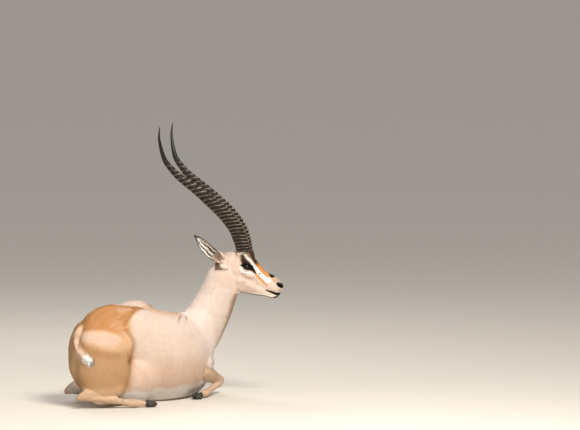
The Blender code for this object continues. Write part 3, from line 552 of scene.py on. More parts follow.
def side_of(heading):
    """The way to the left of a heading in degrees."""
    turn = math.radians(heading)
    return Vector((-math.sin(turn), math.cos(turn), 0.0))


def level_section(centre, heading, roll, width, up, down):
    """A section of the trunk, square to a heading, with its left side lifted by a roll."""
    lean = math.radians(roll)
    side = side_of(heading)
    rise = Vector((0.0, 0.0, 1.0))
    left = side * math.cos(lean) + rise * math.sin(lean)
    top = rise * math.cos(lean) - side * math.sin(lean)
    return section(centre, left * width, top * up, -top * down)


def profile_section(frame, top, bottom, width):
    """A section of the head, from its top and bottom points in the side view, in millimetres."""
    top = Vector((top[0], 0.0, top[1])) * MM
    bottom = Vector((bottom[0], 0.0, bottom[1])) * MM
    centre = (top + bottom) / 2
    turn = frame.to_3x3()
    left = turn @ Vector((0.0, width * MM, 0.0))
    return section(frame @ centre, left, turn @ (top - centre), turn @ (bottom - centre))


def limb_sections(frame, points, side):
    """Sections square to a path. Each point is its place, half width and half thickness."""
    turn = frame.to_3x3()
    places = [frame @ Vector(p[:3]) for p in points]
    side = (turn @ Vector(side)).normalized()
    made = []
    for i, point in enumerate(points):
        along = (places[min(i + 1, len(places) - 1)] - places[max(i - 1, 0)]).normalized()
        left = (side - along * side.dot(along)).normalized()
        top = along.cross(left)
        made.append(section(places[i], left * point[3], top * point[4], -top * point[4]))
    return made


def pulled(name, sections, rows=36, around=24, blunt=10, square=1.0):
    """A sphere pulled out through sections into one closed, round-ended body."""
    bm = bmesh.new()
    bmesh.ops.create_uvsphere(bm, u_segments=around, v_segments=rows, radius=1.0)
    table = np.array(sections)
    sphere = np.array([v.co for v in bm.verts])
    share = np.clip((1 - sphere[:, 2]) / 2, 0, 1)
    where = np.interp(share, shares_along(table[:, :3]), np.arange(len(table)))
    rowed = smooth_between(table, where)
    flat = np.hypot(sphere[:, 0], sphere[:, 1])
    flat[flat < 1e-9] = 1.0
    across = sphere[:, 0] / flat
    height = sphere[:, 1] / flat
    across = np.sign(across) * np.abs(across) ** square
    height = np.sign(height) * np.abs(height) ** square
    swell = np.sqrt(np.clip(1 - np.abs(2 * share - 1) ** blunt, 0, 1))
    upright = np.where((height > 0)[:, None], rowed[:, 6:9], -rowed[:, 9:12])
    placed = rowed[:, :3] + (rowed[:, 3:6] * across[:, None] + upright * height[:, None]) * swell[:, None]
    for vert, co in zip(bm.verts, placed):
        vert.co = co
    return closed_object(name, bm)


def object_from(name, bm):
    """An object with a bmesh's shape, which uses the bmesh up."""
    mesh = bpy.data.meshes.new(name)
    bm.to_mesh(mesh)
    bm.free()
    return bpy.data.objects.new(name, mesh)


def closed_object(name, bm):
    """An object from a closed bmesh, with its faces turned outwards."""
    if bm.calc_volume(signed=True) < 0:
        bmesh.ops.reverse_faces(bm, faces=bm.faces)
    return object_from(name, bm)


def ball(name, frame, centre, radii, turn=(0.0, 0.0, 0.0), around=24, rows=16):
    """An ellipsoid of muscle or bone in a frame, in metres, with its own turn in degrees."""
    bm = bmesh.new()
    bmesh.ops.create_uvsphere(bm, u_segments=around, v_segments=rows, radius=1.0)
    x, y, z = (math.radians(a) for a in turn)
    own = Matrix.Translation(centre) @ Matrix.Rotation(z, 4, "Z") @ Matrix.Rotation(y, 4, "Y")
    own = own @ Matrix.Rotation(x, 4, "X") @ Matrix.Diagonal((*radii, 1.0))
    bm.transform(frame @ own)
    return closed_object(name, bm)


def settle(obj):
    """Applies an object's modifiers."""
    graph = bpy.context.evaluated_depsgraph_get()
    mesh = bpy.data.meshes.new_from_object(obj.evaluated_get(graph))
    obj.modifiers.clear()
    obj.data = mesh


def shown(obj):
    """Puts an object among the looks."""
    bpy.context.scene.collection.objects.link(obj)
    return obj


def fused(name, pieces, voxel, smoothing):
    """One closed surface over overlapping pieces, smoothed."""
    bm = bmesh.new()
    for piece in pieces:
        bm.from_mesh(piece.data)
        bpy.data.objects.remove(piece)
    body = shown(object_from(name, bm))
    remesh = body.modifiers.new("Skin", "REMESH")
    remesh.mode = "VOXEL"
    remesh.voxel_size = voxel
    relax = body.modifiers.new("Relax", "SMOOTH")
    relax.factor = 0.5
    relax.iterations = smoothing
    settle(body)
    return body


def numbers(items, name, width, kind=np.float32):
    """One property of every item of a mesh, as rows."""
    out = np.empty(len(items) * width, kind)
    items.foreach_get(name, out)
    return out.reshape(-1, width)


def keep_largest(obj):
    """Drops every closed surface but the largest."""
    mesh = obj.data
    ends = numbers(mesh.edges, "vertices", 2, np.int32)
    label = np.arange(len(mesh.vertices))
    while True:
        low = np.minimum(label[ends[:, 0]], label[ends[:, 1]])
        after = label.copy()
        np.minimum.at(after, ends[:, 0], low)
        np.minimum.at(after, ends[:, 1], low)
        after = after[after]
        if (after == label).all():
            break
        label = after
    counts = np.bincount(label)
    if (counts > 0).sum() == 1:
        return
    bm = bmesh.new()
    bm.from_mesh(mesh)
    bm.verts.ensure_lookup_table()
    drop = [bm.verts[i] for i in np.nonzero(label != counts.argmax())[0]]
    bmesh.ops.delete(bm, geom=drop, context="VERTS")
    bm.to_mesh(mesh)
    bm.free()


def combine(obj, other, operation):
    """A Boolean between two closed bodies, applied, which uses the other up."""
    change = obj.modifiers.new("Cut", "BOOLEAN")
    change.operation = operation
    change.solver = "MANIFOLD"
    change.object = other
    settle(obj)
    bpy.data.objects.remove(other)


def points_of(mesh):
    return numbers(mesh.vertices, "co", 3).astype(float)


def normals_of(mesh):
    return numbers(mesh.vertex_normals, "vector", 3).astype(float)


def triangles_of(mesh):
    mesh.calc_loop_triangles()
    return numbers(mesh.loop_triangles, "vertices", 3, np.int32)


def move_points(mesh, points):
    mesh.vertices.foreach_set("co", points.astype(np.float32).ravel())
    mesh.update()


def placed_by(frame, points):
    """Points of a frame's own axes, in the scene."""
    turn = np.array(frame)
    return points @ turn[:3, :3].T + turn[:3, 3]


def into(frame, points):
    """Points in a frame's own axes."""
    return placed_by(frame.inverted(), points)


def unit(rows):
    return rows / np.maximum(np.linalg.norm(rows, axis=1), 1e-9)[:, None]


def trunk_pieces():
    """The barrel from the buttocks to the breast, and the bulges of the hips, paunch and shoulders."""
    barrel = [level_section(*row) for row in BARREL]
    made = [pulled("barrel", barrel, rows=90, around=64, blunt=16, square=0.94)]
    for name, centre, radii, turn in TRUNK_BULGES:
        made.append(ball(name, Matrix.Identity(4), centre, radii, turn))
    for side in (-1, 1):
        blade = [(x, side * y, z, wide, thick) for x, y, z, wide, thick in BLADE]
        made.append(pulled("shoulder", limb_sections(chest, blade, (0, 1, 0)), blunt=6))
        place = (-0.012, side * 0.086, 0.165)
        made.append(ball("upper_arm", chest, place, (0.080, 0.034, 0.062), (0, -25, 0)))
    return made


def neck_pieces(first=0):
    """The neck, from inside the chest to inside the skull, turning as it rises, or its upper sections."""
    made = []
    places = [Vector(row[0]) for row in NECK]
    for i, (place, heading, width, depth) in enumerate(NECK):
        along = (places[min(i + 1, len(NECK) - 1)] - places[max(i - 1, 0)]).normalized()
        side = side_of(heading)
        left = (side - along * side.dot(along)).normalized()
        nape = along.cross(left)
        slim = 0.9 if i == first > 0 else 1.0
        made.append(section(place, left * width * slim, nape * depth * slim, -nape * depth * slim))
    return [pulled("neck", made[first:], rows=66, around=48, blunt=14)]


def ease_joins(core):
    """Smooths the neck's root into chest and shoulders, and the thighs into the rump."""
    points = points_of(core.data)
    share = np.zeros(len(points))
    for middle, reach in EASED:
        gap = np.linalg.norm((points - np.array(middle)) / np.array(reach), axis=1)
        share = np.maximum(share, smooth_step((1.3 - gap) / 0.7))
    steps = np.round(share * EASED_STEPS).astype(int)
    group = core.vertex_groups.new(name="eased")
    for step in range(1, EASED_STEPS + 1):
        group.add(np.nonzero(steps == step)[0].tolist(), step / EASED_STEPS, "REPLACE")
    relax = core.modifiers.new("Relax", "SMOOTH")
    relax.factor = 0.6
    relax.iterations = EASED_PASSES
    relax.vertex_group = "eased"
    settle(core)
    core.vertex_groups.clear()


def head_pieces():
    """The skull, jaw and cheeks in the head's own side view, and the bulges on them."""
    skull, jaw, cheek = ([profile_section(head, *row) for row in table] for table in (SKULL, JAW, CHEEK))
    made = [
        pulled("skull", skull, rows=88, around=64, blunt=14, square=0.9),
        pulled("jaw", jaw, rows=72, around=56, blunt=12),
        pulled("cheek", cheek, rows=56, around=56, blunt=10),
        ball("forelock", head, (0.050, 0.0, 0.061), (0.026, 0.025, 0.026), (0, 20, 0)),
    ]
    for side in (-1, 1):
        for name, (x, y, z), radii, lean in HEAD_BULGES:
            made.append(ball(name, head, (x, side * y, z), radii, (0, lean, 0)))
    return made


def mouth_cutter():
    """The parting of the lips, from the corner of the mouth to the front, as a flat wedge."""
    bm = bmesh.new()
    near = [bm.verts.new((h * MM, -0.05, z * MM)) for h, z in MOUTH_LINE]
    face = bm.faces.new(near)
    out = bmesh.ops.extrude_face_region(bm, geom=[face])
    moved = [v for v in out["geom"] if isinstance(v, bmesh.types.BMVert)]
    bmesh.ops.translate(bm, verts=moved, vec=(0, 0.10, 0))
    bmesh.ops.triangulate(bm, faces=bm.faces)
    bmesh.ops.recalc_face_normals(bm, faces=bm.faces)
    bm.transform(head)
    return closed_object("mouth", bm)


def eye_centre(side):
    return Vector((0.051, side * 0.0385, 0.016))


def lid_opening(side):
    """A lens-shaped cutter for the almond between the lids, its front corner the lower one."""
    bm = bmesh.new()
    bmesh.ops.create_uvsphere(bm, u_segments=48, v_segments=32, radius=1.0)
    for vert in bm.verts:
        x, y, z = vert.co
        vert.co = (x * 0.0168, y * 0.0120, z * 0.0104 * (1 - 0.35 * x * x))
    slant = Matrix.Rotation(math.radians(26), 4, "Y")
    face = Matrix.Rotation(math.radians(side * -12), 4, "Z")
    out = Matrix.Translation(eye_centre(side) + Vector((0.003, side * 0.0165, 0.0005)))
    bm.transform(head @ out @ face @ slant)
    return closed_object("lid_opening", bm)


def horn_axis(side, where):
    """Places on a horn's centre line, in the head's frame. where runs from 0, root, to 1, tip."""
    run = np.array(HORN_LINE) * MM
    run[:, 1] *= side
    return smooth_between(run, np.interp(where, shares_along(run), np.arange(len(run))))


def beyond(start, end, reach):
    """A place on a line's far end, drawn out by a reach."""
    return end + (end - start).normalized() * reach


def limb_points(joints, table):
    """Points of a limb: places between two of its joints, each with a half width and half thickness."""
    return [(*joints[a].lerp(joints[b], t), wide, thick) for a, b, t, wide, thick in table]


def hind_leg(frame, haunch, joints):
    """Thigh, gaskin, hock, cannon and pastern of a folded hind leg, along its joints."""
    joints = [Vector(j) for j in joints]
    gaskin = [*limb_points(joints, GASKIN), (*beyond(joints[0], joints[1], 0.030), 0.013, 0.017)]
    pieces = [pulled("thigh", limb_sections(frame, haunch, (1.0, 0.0, 0.0)), around=32, blunt=5)]
    for name, points in (("gaskin", gaskin), ("cannon", limb_points(joints, HIND_CANNON))):
        pieces.append(pulled(name, limb_sections(frame, points, (0.12, 1.0, 0.1)), blunt=6))
    return fused("hind_leg", pieces, 0.0035, 8)


def fore_leg(frame, joints):
    """Upper arm, forearm, knee, cannon and pastern of a folded foreleg."""
    joints = [Vector(j) for j in joints]
    forearm = [(*beyond(joints[2], joints[1], 0.025), 0.018, 0.022), *limb_points(joints, FOREARM)]
    arm, cannon = (limb_points(joints, table) for table in (UPPER_ARM, FORE_CANNON))
    pieces = []
    for name, points in (("arm", arm), ("forearm", forearm), ("cannon", cannon)):
        pieces.append(pulled(name, limb_sections(frame, points, (0.1, 1.0, 0.1)), blunt=6))
    return fused("fore_leg", pieces, 0.0030, 4)


def toe_pair(frame, fetlock, toe):
    """The two halves of a cloven hoof, side by side, pointing from the fetlock to the toe."""
    fetlock, toe = Vector(fetlock), Vector(toe)
    along = (toe - fetlock).normalized()
    side = Vector((0, 1, 0))
    side = (side - along * side.dot(along)).normalized()
    made = []
    for half in (-1, 1):
        off = side * half * 0.0098
        points = [
            (*(fetlock.lerp(toe, 0.52) + off * 0.9), 0.0080, 0.0120),
            (*(fetlock.lerp(toe, 0.66) + off), 0.0092, 0.0140),
            (*(fetlock.lerp(toe, 0.85) + off), 0.0082, 0.0110),
            (*(toe + off * 0.62), 0.0040, 0.0055),
        ]
        made.append(pulled("claw", limb_sections(frame, points, side), rows=36, around=28, blunt=8))
    return made


def ear_axes(axis, opening):
    """The way that an ear points, and the way that it opens, square to it."""
    axis = Vector(axis).normalized()
    opening = Vector(opening)
    return axis, (opening - axis * opening.dot(axis)).normalized()


def ear_leaf(root, axis, opening):
    """The cupped leaf of an ear as a sheet, with the place along and across it of each of its points."""
    across = axis.cross(opening)
    bm = bmesh.new()
    bmesh.ops.create_grid(bm, x_segments=36, y_segments=60, size=1.0)
    places = []
    for vert in bm.verts:
        u = (vert.co.y + 1) / 2
        v = vert.co.x
        half = float(np.interp(u, EAR_ALONG, EAR_HALF))
        curl = math.radians(112 - 60 * u)
        radius = half / math.sin(min(curl, math.pi / 2))
        bend = v * curl
        place = axis * EAR_LENGTH * u + across * radius * math.sin(bend) - opening * radius * math.cos(bend)
        place += opening * (0.020 - 0.020 * (2 * u - 1) ** 2)
        vert.co = head @ (root + place)
        places.append((u, v))
    return shown(object_from("leaf", bm)), np.array(places)


def tree_of(points):
    """A tree that finds the nearest of some points."""
    tree = kdtree.KDTree(len(points))
    for i, point in enumerate(points):
        tree.insert(point, i)
    tree.balance()
    return tree


def ear(root, axis, opening):
    """An ear of skin, and what is known of its leaf: points, places and the ways that it points and opens."""
    root = Vector(root)
    axis, opening = ear_axes(axis, opening)
    leaf, places = ear_leaf(root, axis, opening)
    points = points_of(leaf.data)
    turn = head.to_3x3()
    known = {"points": points, "places": places, "tree": tree_of(points)}
    known["open"], known["axis"] = np.array(turn @ opening), np.array(turn @ axis)
    wall = leaf.modifiers.new("Wall", "SOLIDIFY")
    wall.thickness = 0.0030
    wall.offset = 0.0
    settle(leaf)
    stalk = [
        (*(root - axis * 0.030 - opening * 0.012), 0.014, 0.014),
        (*(root - axis * 0.005 - opening * 0.014), 0.017, 0.014),
        (*(root + axis * 0.022 - opening * 0.016), 0.019, 0.009),
        (*(root + axis * 0.050 - opening * 0.020), 0.012, 0.004),
    ]
    base = pulled("stalk", limb_sections(head, stalk, axis.cross(opening)), blunt=5)
    made = fused("ear", [leaf, base], 0.0013, 4)
    thin = made.modifiers.new("Thin", "DECIMATE")
    thin.ratio = EAR_TRIANGLES / (2 * len(made.data.polygons))
    settle(made)
    keep_largest(made)
    return made, known


def round_eye(name, side, margin):
    """A ball round an eye, larger than it by a margin."""
    return ball(name, head, eye_centre(side), (EYE_RADIUS + margin,) * 3, around=64, rows=44)


def open_face(skin):
    """Cuts the mouth, nostrils and eyelids into the head."""
    combine(skin, mouth_cutter(), "DIFFERENCE")
    combine(skin, pulled("inner_mouth", [profile_section(head, *s) for s in INNER_MOUTH], blunt=8), "UNION")
    for side in (-1, 1):
        place = (0.184, side * 0.0175, -0.062)
        nostril = ball("nostril", head, place, (0.0095, 0.0072, 0.0044), (0, 35, side * -30), 32, 24)
        combine(skin, nostril, "DIFFERENCE")
        combine(skin, round_eye("lids", side, 0.0022), "UNION")
        combine(skin, lid_opening(side), "DIFFERENCE")
        combine(skin, round_eye("socket", side, 0.0004), "DIFFERENCE")


def coarse_group(skin):
    """Marks how far each point may be thinned out: the trunk most, the head and feet least."""
    points = points_of(skin.data)
    on_head = into(head, points)
    beside = np.clip((np.linalg.norm(on_head - np.array((0.06, 0, -0.01)), axis=1) - 0.14) / 0.10, 0, 1)
    group = skin.vertex_groups.new(name="coarse")
    steps = np.round(beside * COARSE_STEPS).astype(int)
    for step in range(COARSE_STEPS + 1):
        chosen = np.nonzero(steps == step)[0]
        group.add(chosen.tolist(), 0.04 + 0.96 * step / COARSE_STEPS, "REPLACE")


def whole_skin():
    """One skin over trunk, neck, head, legs, tail and ears."""
    thighs = []
    for haunch in HAUNCHES.values():
        thighs.append(pulled("thigh", limb_sections(pelvis, haunch, (1.0, 0.0, 0.0)), around=32, blunt=5))
    core = fused("core", [*trunk_pieces(), *neck_pieces(), *head_pieces(), *thighs], 0.0065, 10)
    ease_joins(core)
    face = fused("face", [*neck_pieces(4), *head_pieces()], 0.0026, 8)
    pieces = [core, face]
    for word in ("right", "left"):
        pieces.append(hind_leg(pelvis, HAUNCHES[word], HIND_JOINTS[word]))
        pieces.append(fore_leg(chest, FORE_JOINTS[word]))
    slim = [(*row[:3], row[3] * 0.84, row[4] * 0.9) for row in TAIL]
    path = limb_sections(Matrix.Identity(4), slim, (1.0, -0.4, 0.2))
    pieces.append(pulled("tail", path, rows=60, around=32, blunt=8))
    skin = fused("skin", pieces, SKIN_VOXEL, 5)
    keep_largest(skin)
    open_face(skin)
    leaves = []
    for place in EARS.values():
        leaf, known = ear(*place)
        combine(skin, leaf, "UNION")
        leaves.append(known)
    keep_largest(skin)
    return skin, leaves


def lie_guides():
    """Points along the middle of each part: place, way the hair lies, radius, hair length and coat depth."""
    rows = []

    def along(places, radii, length, depth, sign=1.0, drop=0.0):
        places = np.array([tuple(p) for p in places])
        ways = unit(unit(np.gradient(places, axis=0)) * sign - np.array((0, 0, drop)))
        for place, way, radius in zip(places, ways, np.broadcast_to(radii, len(places))):
            rows.append([*place, *way, radius, length, depth])

    along([row[0] for row in BARREL], [row[3] for row in BARREL], 0.012, 0.0010, -1.0, 0.45)
    along([row[0] for row in NECK], [row[2] for row in NECK], 0.0115, 0.0011, -1.0)
    for table, first, last, radius, length, depth in HEAD_HAIR:
        middle = [head @ (Vector((a[0] + b[0], 0, a[1] + b[1])) * MM / 2) for a, b, _ in table]
        along(middle[first:last], radius, length, depth, -1.0)
    for word in ("right", "left"):
        along([pelvis @ Vector(p[:3]) for p in HAUNCHES[word]], 0.075, 0.0125, 0.0013)
        for frame_, joints, hair in ((pelvis, HIND_JOINTS, HIND_HAIR), (chest, FORE_JOINTS, FORE_HAIR)):
            joint = [frame_ @ Vector(p) for p in joints[word]]
            for i, (shares, radius, length, depth) in enumerate(hair):
                along([joint[i].lerp(joint[i + 1], t) for t in shares], radius, length, depth)
    along([p[:3] for p in TAIL[:6]], 0.016, 0.0130, 0.0010)
    along([p[:3] for p in TAIL[5:]], 0.016, 0.0170, 0.0014)
    return np.array(rows)


def blend(old, new, share):
    """Rows that turn from old into new by a share for each row."""
    return old * (1 - share[:, None]) + new * share[:, None]


def lie_of(points, normals, guides, leaves):
    """At each point the way the hair lies, its length and the coat's depth."""
    gap = np.linalg.norm(points[:, None, :] - guides[None, :, :3], axis=2) / guides[None, :, 6]
    weight = 1.0 / (gap ** 2 + 0.05) ** 3
    weight /= weight.sum(axis=1)[:, None]
    way = weight @ guides[:, 3:6]
    way[:, 2] -= 0.12
    length = weight @ guides[:, 7]
    depth = weight @ guides[:, 8]
    for leaf in leaves:
        _, far, _, _ = ear_place(points, leaf)
        share = np.clip((0.007 - far) / 0.004, 0, 1)
        way = blend(way, leaf["axis"], share)
        length = length * (1 - share) + EAR_HAIR_LENGTH * share
        depth = depth * (1 - share) + EAR_COAT_DEPTH * share
    way -= normals * (way * normals).sum(axis=1)[:, None]
    return unit(way), length, depth


def ear_place(points, leaf):
    """For points, the nearest point of an ear's leaf, how far it is, and its place along and across."""
    near = np.zeros(len(points), int)
    far = np.ones(len(points))
    middle = leaf["points"].mean(axis=0)
    close = np.nonzero(np.linalg.norm(points - middle, axis=1) < EAR_LENGTH * 0.75)[0]
    for i in close:
        _, near[i], far[i] = leaf["tree"].find(points[i])
    return near, far, leaf["places"][near, 0], leaf["places"][near, 1]


def smooth_step(value):
    value = np.clip(value, 0, 1)
    return value * value * (3 - 2 * value)


def from_line(h, z, line):
    """Distance from a bent line to each point, and how far along the line it is, from 0 to 1."""
    line = np.array(line, float)
    best = np.full(len(h), 1e9)
    place = np.zeros(len(h))
    reach = shares_along(line)
    for i in range(len(line) - 1):
        way = line[i + 1] - line[i]
        t = np.clip(((h - line[i, 0]) * way[0] + (z - line[i, 1]) * way[1]) / (way @ way), 0, 1)
        gap = np.hypot(h - line[i, 0] - t * way[0], z - line[i, 1] - t * way[1])
        closer = gap < best
        best[closer] = gap[closer]
        place[closer] = (reach[i] + t * (reach[i + 1] - reach[i]))[closer]
    return best, place


def stroke(h, z, line, widths, soft=3.0):
    """A painted stroke along a bent line, its half widths spread evenly from end to end."""
    gap, place = from_line(h, z, line)
    half = np.interp(place, np.linspace(0, 1, len(widths)), widths)
    return smooth_step((half - gap) / soft + 0.5)


def patch(h, z, outline, soft=3.0):
    """A painted patch inside an outline."""
    line = np.array(outline, float)
    closed = np.vstack([line, line[:1]])
    gap, _ = from_line(h, z, closed)
    inside = np.zeros(len(h), bool)
    for (x0, y0), (x1, y1) in zip(closed[:-1], closed[1:]):
        crosses = (y0 > z) != (y1 > z)
        rise = (y1 - y0) if y1 != y0 else 1e-9
        inside ^= crosses & (h < (x1 - x0) * (z - y0) / rise + x0)
    return smooth_step(np.where(inside, gap, -gap) / soft + 0.5)


def over(base, colour, mask):
    """A colour laid over others as far as a mask says."""
    return blend(base, np.array(colour), mask)


def sheet_places(points):
    """Where points fall on the pattern sheet: along it and up it, in millimetres."""
    lean = math.radians(SHEET_LEAN)
    up = SHEET_MIDDLE + (points[:, 2] - SHEET_MIDDLE) * math.cos(lean) + points[:, 1] * math.sin(lean)
    return points[:, 0] / MM, up / MM


def marked(base, h, z, marks, **masks):
    """Marks laid over a coat in their order. One without half widths is a patch."""
    out = base
    for colour, share, soft, widths, line, *words in marks:
        mask = (stroke(h, z, line, widths, soft) if widths else patch(h, z, line, soft)) * share
        for word in words:
            mask = mask * masks[word]
        out = over(out, colour, mask)
    return out


def haunch_mirrored(points):
    """Points past the pelvis's leaning middle brought back to its right side, and how far past they are."""
    middle = animal_frame(PELVIS_AT + Vector((0, 0, 0.23)), PELVIS_HEADING, 24)
    own = into(middle, points)
    past = smooth_step((own[:, 1] - 0.040) / 0.025)
    own[:, 1] = -np.abs(own[:, 1])
    return placed_by(middle, own), past


def streak_croup(out, u, v):
    """Short streaks across the croup, some pale and some dark."""
    draw = np.random.default_rng(STREAK_SEED)
    for _ in range(STREAKS):
        x, y = draw.uniform((-395, 285), (-190, 405))
        reach, share = draw.uniform(8, 20), draw.uniform(0.15, 0.45)
        near = np.nonzero((np.abs(u - x) < 26) & (np.abs(v - y) < 26))[0]
        line = [(x - reach, y - reach * 0.8), (x + reach, y + reach * 0.8)]
        inside = stroke(u[near], v[near], line, (0.8, 2.0, 0.8), 3)
        inside *= patch(u[near], v[near], CROUP_ZONE, 22)
        out[near] = over(out[near], CROUP_PALE if draw.random() < 0.45 else CROUP_EDGE, inside * share)


def haunch_marks(points, base):
    """Rufous croup with painted shade on its rear edge, painted sheen on the thigh, brown under it deepened
    by painted shade, and creases holding painted shade, on the right side's sheet.
    """
    u, v = sheet_places(points)
    hind = np.nonzero(u < -60)[0]
    u, v = u[hind], v[hind]
    out = marked(base[hind], u, v, CROUP_MARKS)
    streak_croup(out, u, v)
    whole = base.copy()
    whole[hind] = marked(out, u, v, THIGH_MARKS)
    return whole


def to_front(normals):
    """How far the skin faces the pattern sheet, and the same without its level tops."""
    near = smooth_step((0.25 - normals[:, 1]) / 0.25)
    return near, near * smooth_step((0.975 - normals[:, 2]) / 0.10)


def neck_marks(points, normals, base):
    """Wrinkles at the neck's root, freckles, and the rufous edge of the back, on the right side."""
    u, v = sheet_places(points)
    near, steep = to_front(normals)
    out = marked(base, u, v, BACK_MARKS, near=near)
    for line, widths, share in WRINKLES:
        out = over(out, CROUP_EDGE, stroke(u, v, line, widths, 5) * steep * share * 0.9)
    draw = np.random.default_rng(FRECKLE_SEED)
    dots = [*FRECKLES]
    dots += [(*draw.uniform((-60, 215), (230, 500)), draw.uniform(0.9, 1.6)) for _ in range(SMALL_FRECKLES)]
    for x, y, size in dots:
        close = np.nonzero((np.abs(u - x) < 8) & (np.abs(v - y) < 8))[0]
        spot = smooth_step((size - np.hypot(u[close] - x, v[close] - y)) / 1.5 + 0.5) * near[close]
        out[close] = over(out[close], SHADE_AND_MARK_BROWN, spot * (0.85 if size > 1.7 else 0.4))
    return out


def throat_shade_mask(x, y, z, normals):
    """Painted shade down the front of the neck, most where the skin faces forward."""
    shade = np.interp(z, (0.228, 0.30, 0.417, 0.48), (0.006, 0.010, 0.026, 0.030))
    edge = 0.248 + (z - 0.417) * 0.402 - shade
    mask = smooth_step((x - edge) / 0.014) * smooth_step((z - 0.20) / 0.05) * smooth_step((0.480 - z) / 0.03)
    return mask * (smooth_step((normals[:, 0] - 0.45) / 0.20) * smooth_step((0.29 - y) / 0.04))


def body_colours(points, normals):
    """Coat colours of trunk, neck and legs."""
    base = np.tile(np.array(FLANK), (len(points), 1))
    x, y, z = points.T
    wave = 0.003 * np.sin(41 * x + 23 * y) + 0.002 * np.sin(97 * x - 61 * y)
    forward = into(chest, points)[:, 0]
    base = over(base, NECK_PALE, smooth_step((forward + 0.17) / 0.16))
    base = over(base, NECK_PALE, smooth_step((z - 0.26) / 0.08) * smooth_step((x + 0.06) / 0.08))
    low = smooth_step((0.215 - z + wave) / 0.08) * smooth_step((0.02 - forward) / 0.12)
    base = over(base, FLANK_LOW, low * 0.75)
    # Painted shade under the brisket and down the front of the neck
    brisket_shade = smooth_step((forward - 0.075) / 0.04) * smooth_step((0.235 - z) / 0.09)
    base = over(base, SHADE_AND_MARK_BROWN, brisket_shade * 0.55)
    base = over(base, SHADE_AND_MARK_BROWN, throat_shade_mask(x, y, z, normals) * 0.85)
    base = neck_marks(points, normals, base)
    right, past = haunch_mirrored(points)
    base = blend(haunch_marks(points, base), haunch_marks(right, base), past)
    u, v = sheet_places(points)
    base = over(base, STRIP, patch(u, v, FAR_HIP, 6) * smooth_step((z - 0.36) / 0.04))
    belly = smooth_step((0.070 - z + wave) / 0.022) * (1 - smooth_step((-0.20 - x) / 0.05))
    return over(base, WHITE, belly * 0.9)


def leg_colours(points, base):
    """Shanks and feet: fawn outside, paler inside and down the back, darker over the fetlocks."""
    out = base
    for frame_, table in ((pelvis, HIND_JOINTS), (chest, FORE_JOINTS)):
        for word, side in (("right", -1), ("left", 1)):
            joints = table[word][1:]
            line = np.array([frame_ @ Vector(j) for j in joints])
            gap, place = along_line(points, line)
            share = smooth_step((0.040 - gap) / 0.014)
            out = over(out, LEG, share * 0.9)
            own = np.interp(place, np.linspace(0, 1, len(line)), [j[1] for j in joints])
            inside = smooth_step((side * (own - into(frame_, points)[:, 1]) - 0.003) / 0.008)
            out = over(out, WHITE, share * inside * 0.7)
            feet = smooth_step((place - 0.72) / 0.10)
            out = over(out, TAN, share * feet * 0.45)
    return out


def face_colours(points, base):
    """Markings of the head, alike on both sides, drawn on a sheet 32 mm from its middle, with painted shade
    under the jaw and, on the right side alone, a painted shadow of the ear on the nape.
    """
    h, s, z = (into(head, points) / MM).T
    on = smooth_step((h + 95) / 40) * smooth_step((z + 0.35 * h + 95) / 30)
    whole = over(base, FACE_PALE, on)
    close = np.nonzero((h > -80) & (z > -130))[0]
    right = s[close] < 0
    h, s, z = h[close], np.abs(s[close]), z[close]
    h = h + (FACE_SHEET - s) * 0.2126
    z = z + (FACE_SHEET - s) * 0.084
    beside = smooth_step((s - 6) / 5)
    behind_jaw = smooth_step((s - 1) / 3) * right
    whole[close] = marked(whole[close], h, z, FACE_MARKS, beside=beside, behind_jaw=behind_jaw)
    return whole


def ear_inside(colour, u, v):
    """Rows of white hair and dark skin in the cup of an ear."""
    pale = over(colour, EAR_HAIR, smooth_step((u - 0.24) / 0.10))
    wavy = v + 0.05 * np.sin(u * 21)
    thick = np.interp(u, (0.25, 0.45, 0.90), (-0.35, -0.15, 0.5))
    rows = smooth_step((np.cos(wavy * 12.0) - thick) / 0.35)
    rows = rows * smooth_step((u - 0.25) / 0.06) * smooth_step((0.93 - u) / 0.08)
    return over(pale, EAR_SKIN, rows * 0.95)


def ear_colours(points, base, leaves):
    """Ears: grey-fawn behind, rows of white hair and dark skin inside, a dark rim and tip."""
    out = base
    for leaf in leaves:
        near, far, u, v = ear_place(points, leaf)
        share = smooth_step((0.008 - far) / 0.005)
        inner = (points - leaf["points"][near]) @ leaf["open"] > 0
        colour = np.tile(np.array(EAR_BACK), (len(points), 1))
        colour = over(colour, FACE_PALE, smooth_step((0.16 - u) / 0.12) * 0.6)
        colour = np.where(inner[:, None], ear_inside(colour, u, v), colour)
        narrow = 0.90 - 0.30 * smooth_step((u - 0.62) / 0.25)
        rim = smooth_step((np.abs(v) - narrow) / 0.06) * smooth_step((u - 0.08) / 0.12)
        tip = smooth_step((u - 0.88 + 0.05 * np.abs(v)) / 0.05)
        colour = over(colour, DARK, np.maximum(rim * 0.85, tip * 0.92))
        out = blend(out, colour, share)
    return out


def tail_colours(points, base):
    """The tail: tan, rufous at its root, white at its end."""
    gap, place = along_line(points, np.array([p[:3] for p in TAIL]))
    tail = np.tile(np.array(TAIL_TAN), (len(points), 1))
    tail = over(tail, CROUP, smooth_step((0.22 - place) / 0.14))
    tail = over(tail, WHITE_FACE, smooth_step((place - 0.76) / 0.06))
    tail = over(tail, DARK, smooth_step((place - 0.995) / 0.004) * smooth_step((gap - 0.0055) / 0.002) * 0.8)
    return blend(base, tail, smooth_step((0.024 - gap) / 0.006))


def coat_colours(points, normals, leaves):
    """Colour of the coat at points on the skin."""
    out = body_colours(points, normals)
    out = leg_colours(points, out)
    out = face_colours(points, out)
    return ear_colours(points, tail_colours(points, out), leaves)


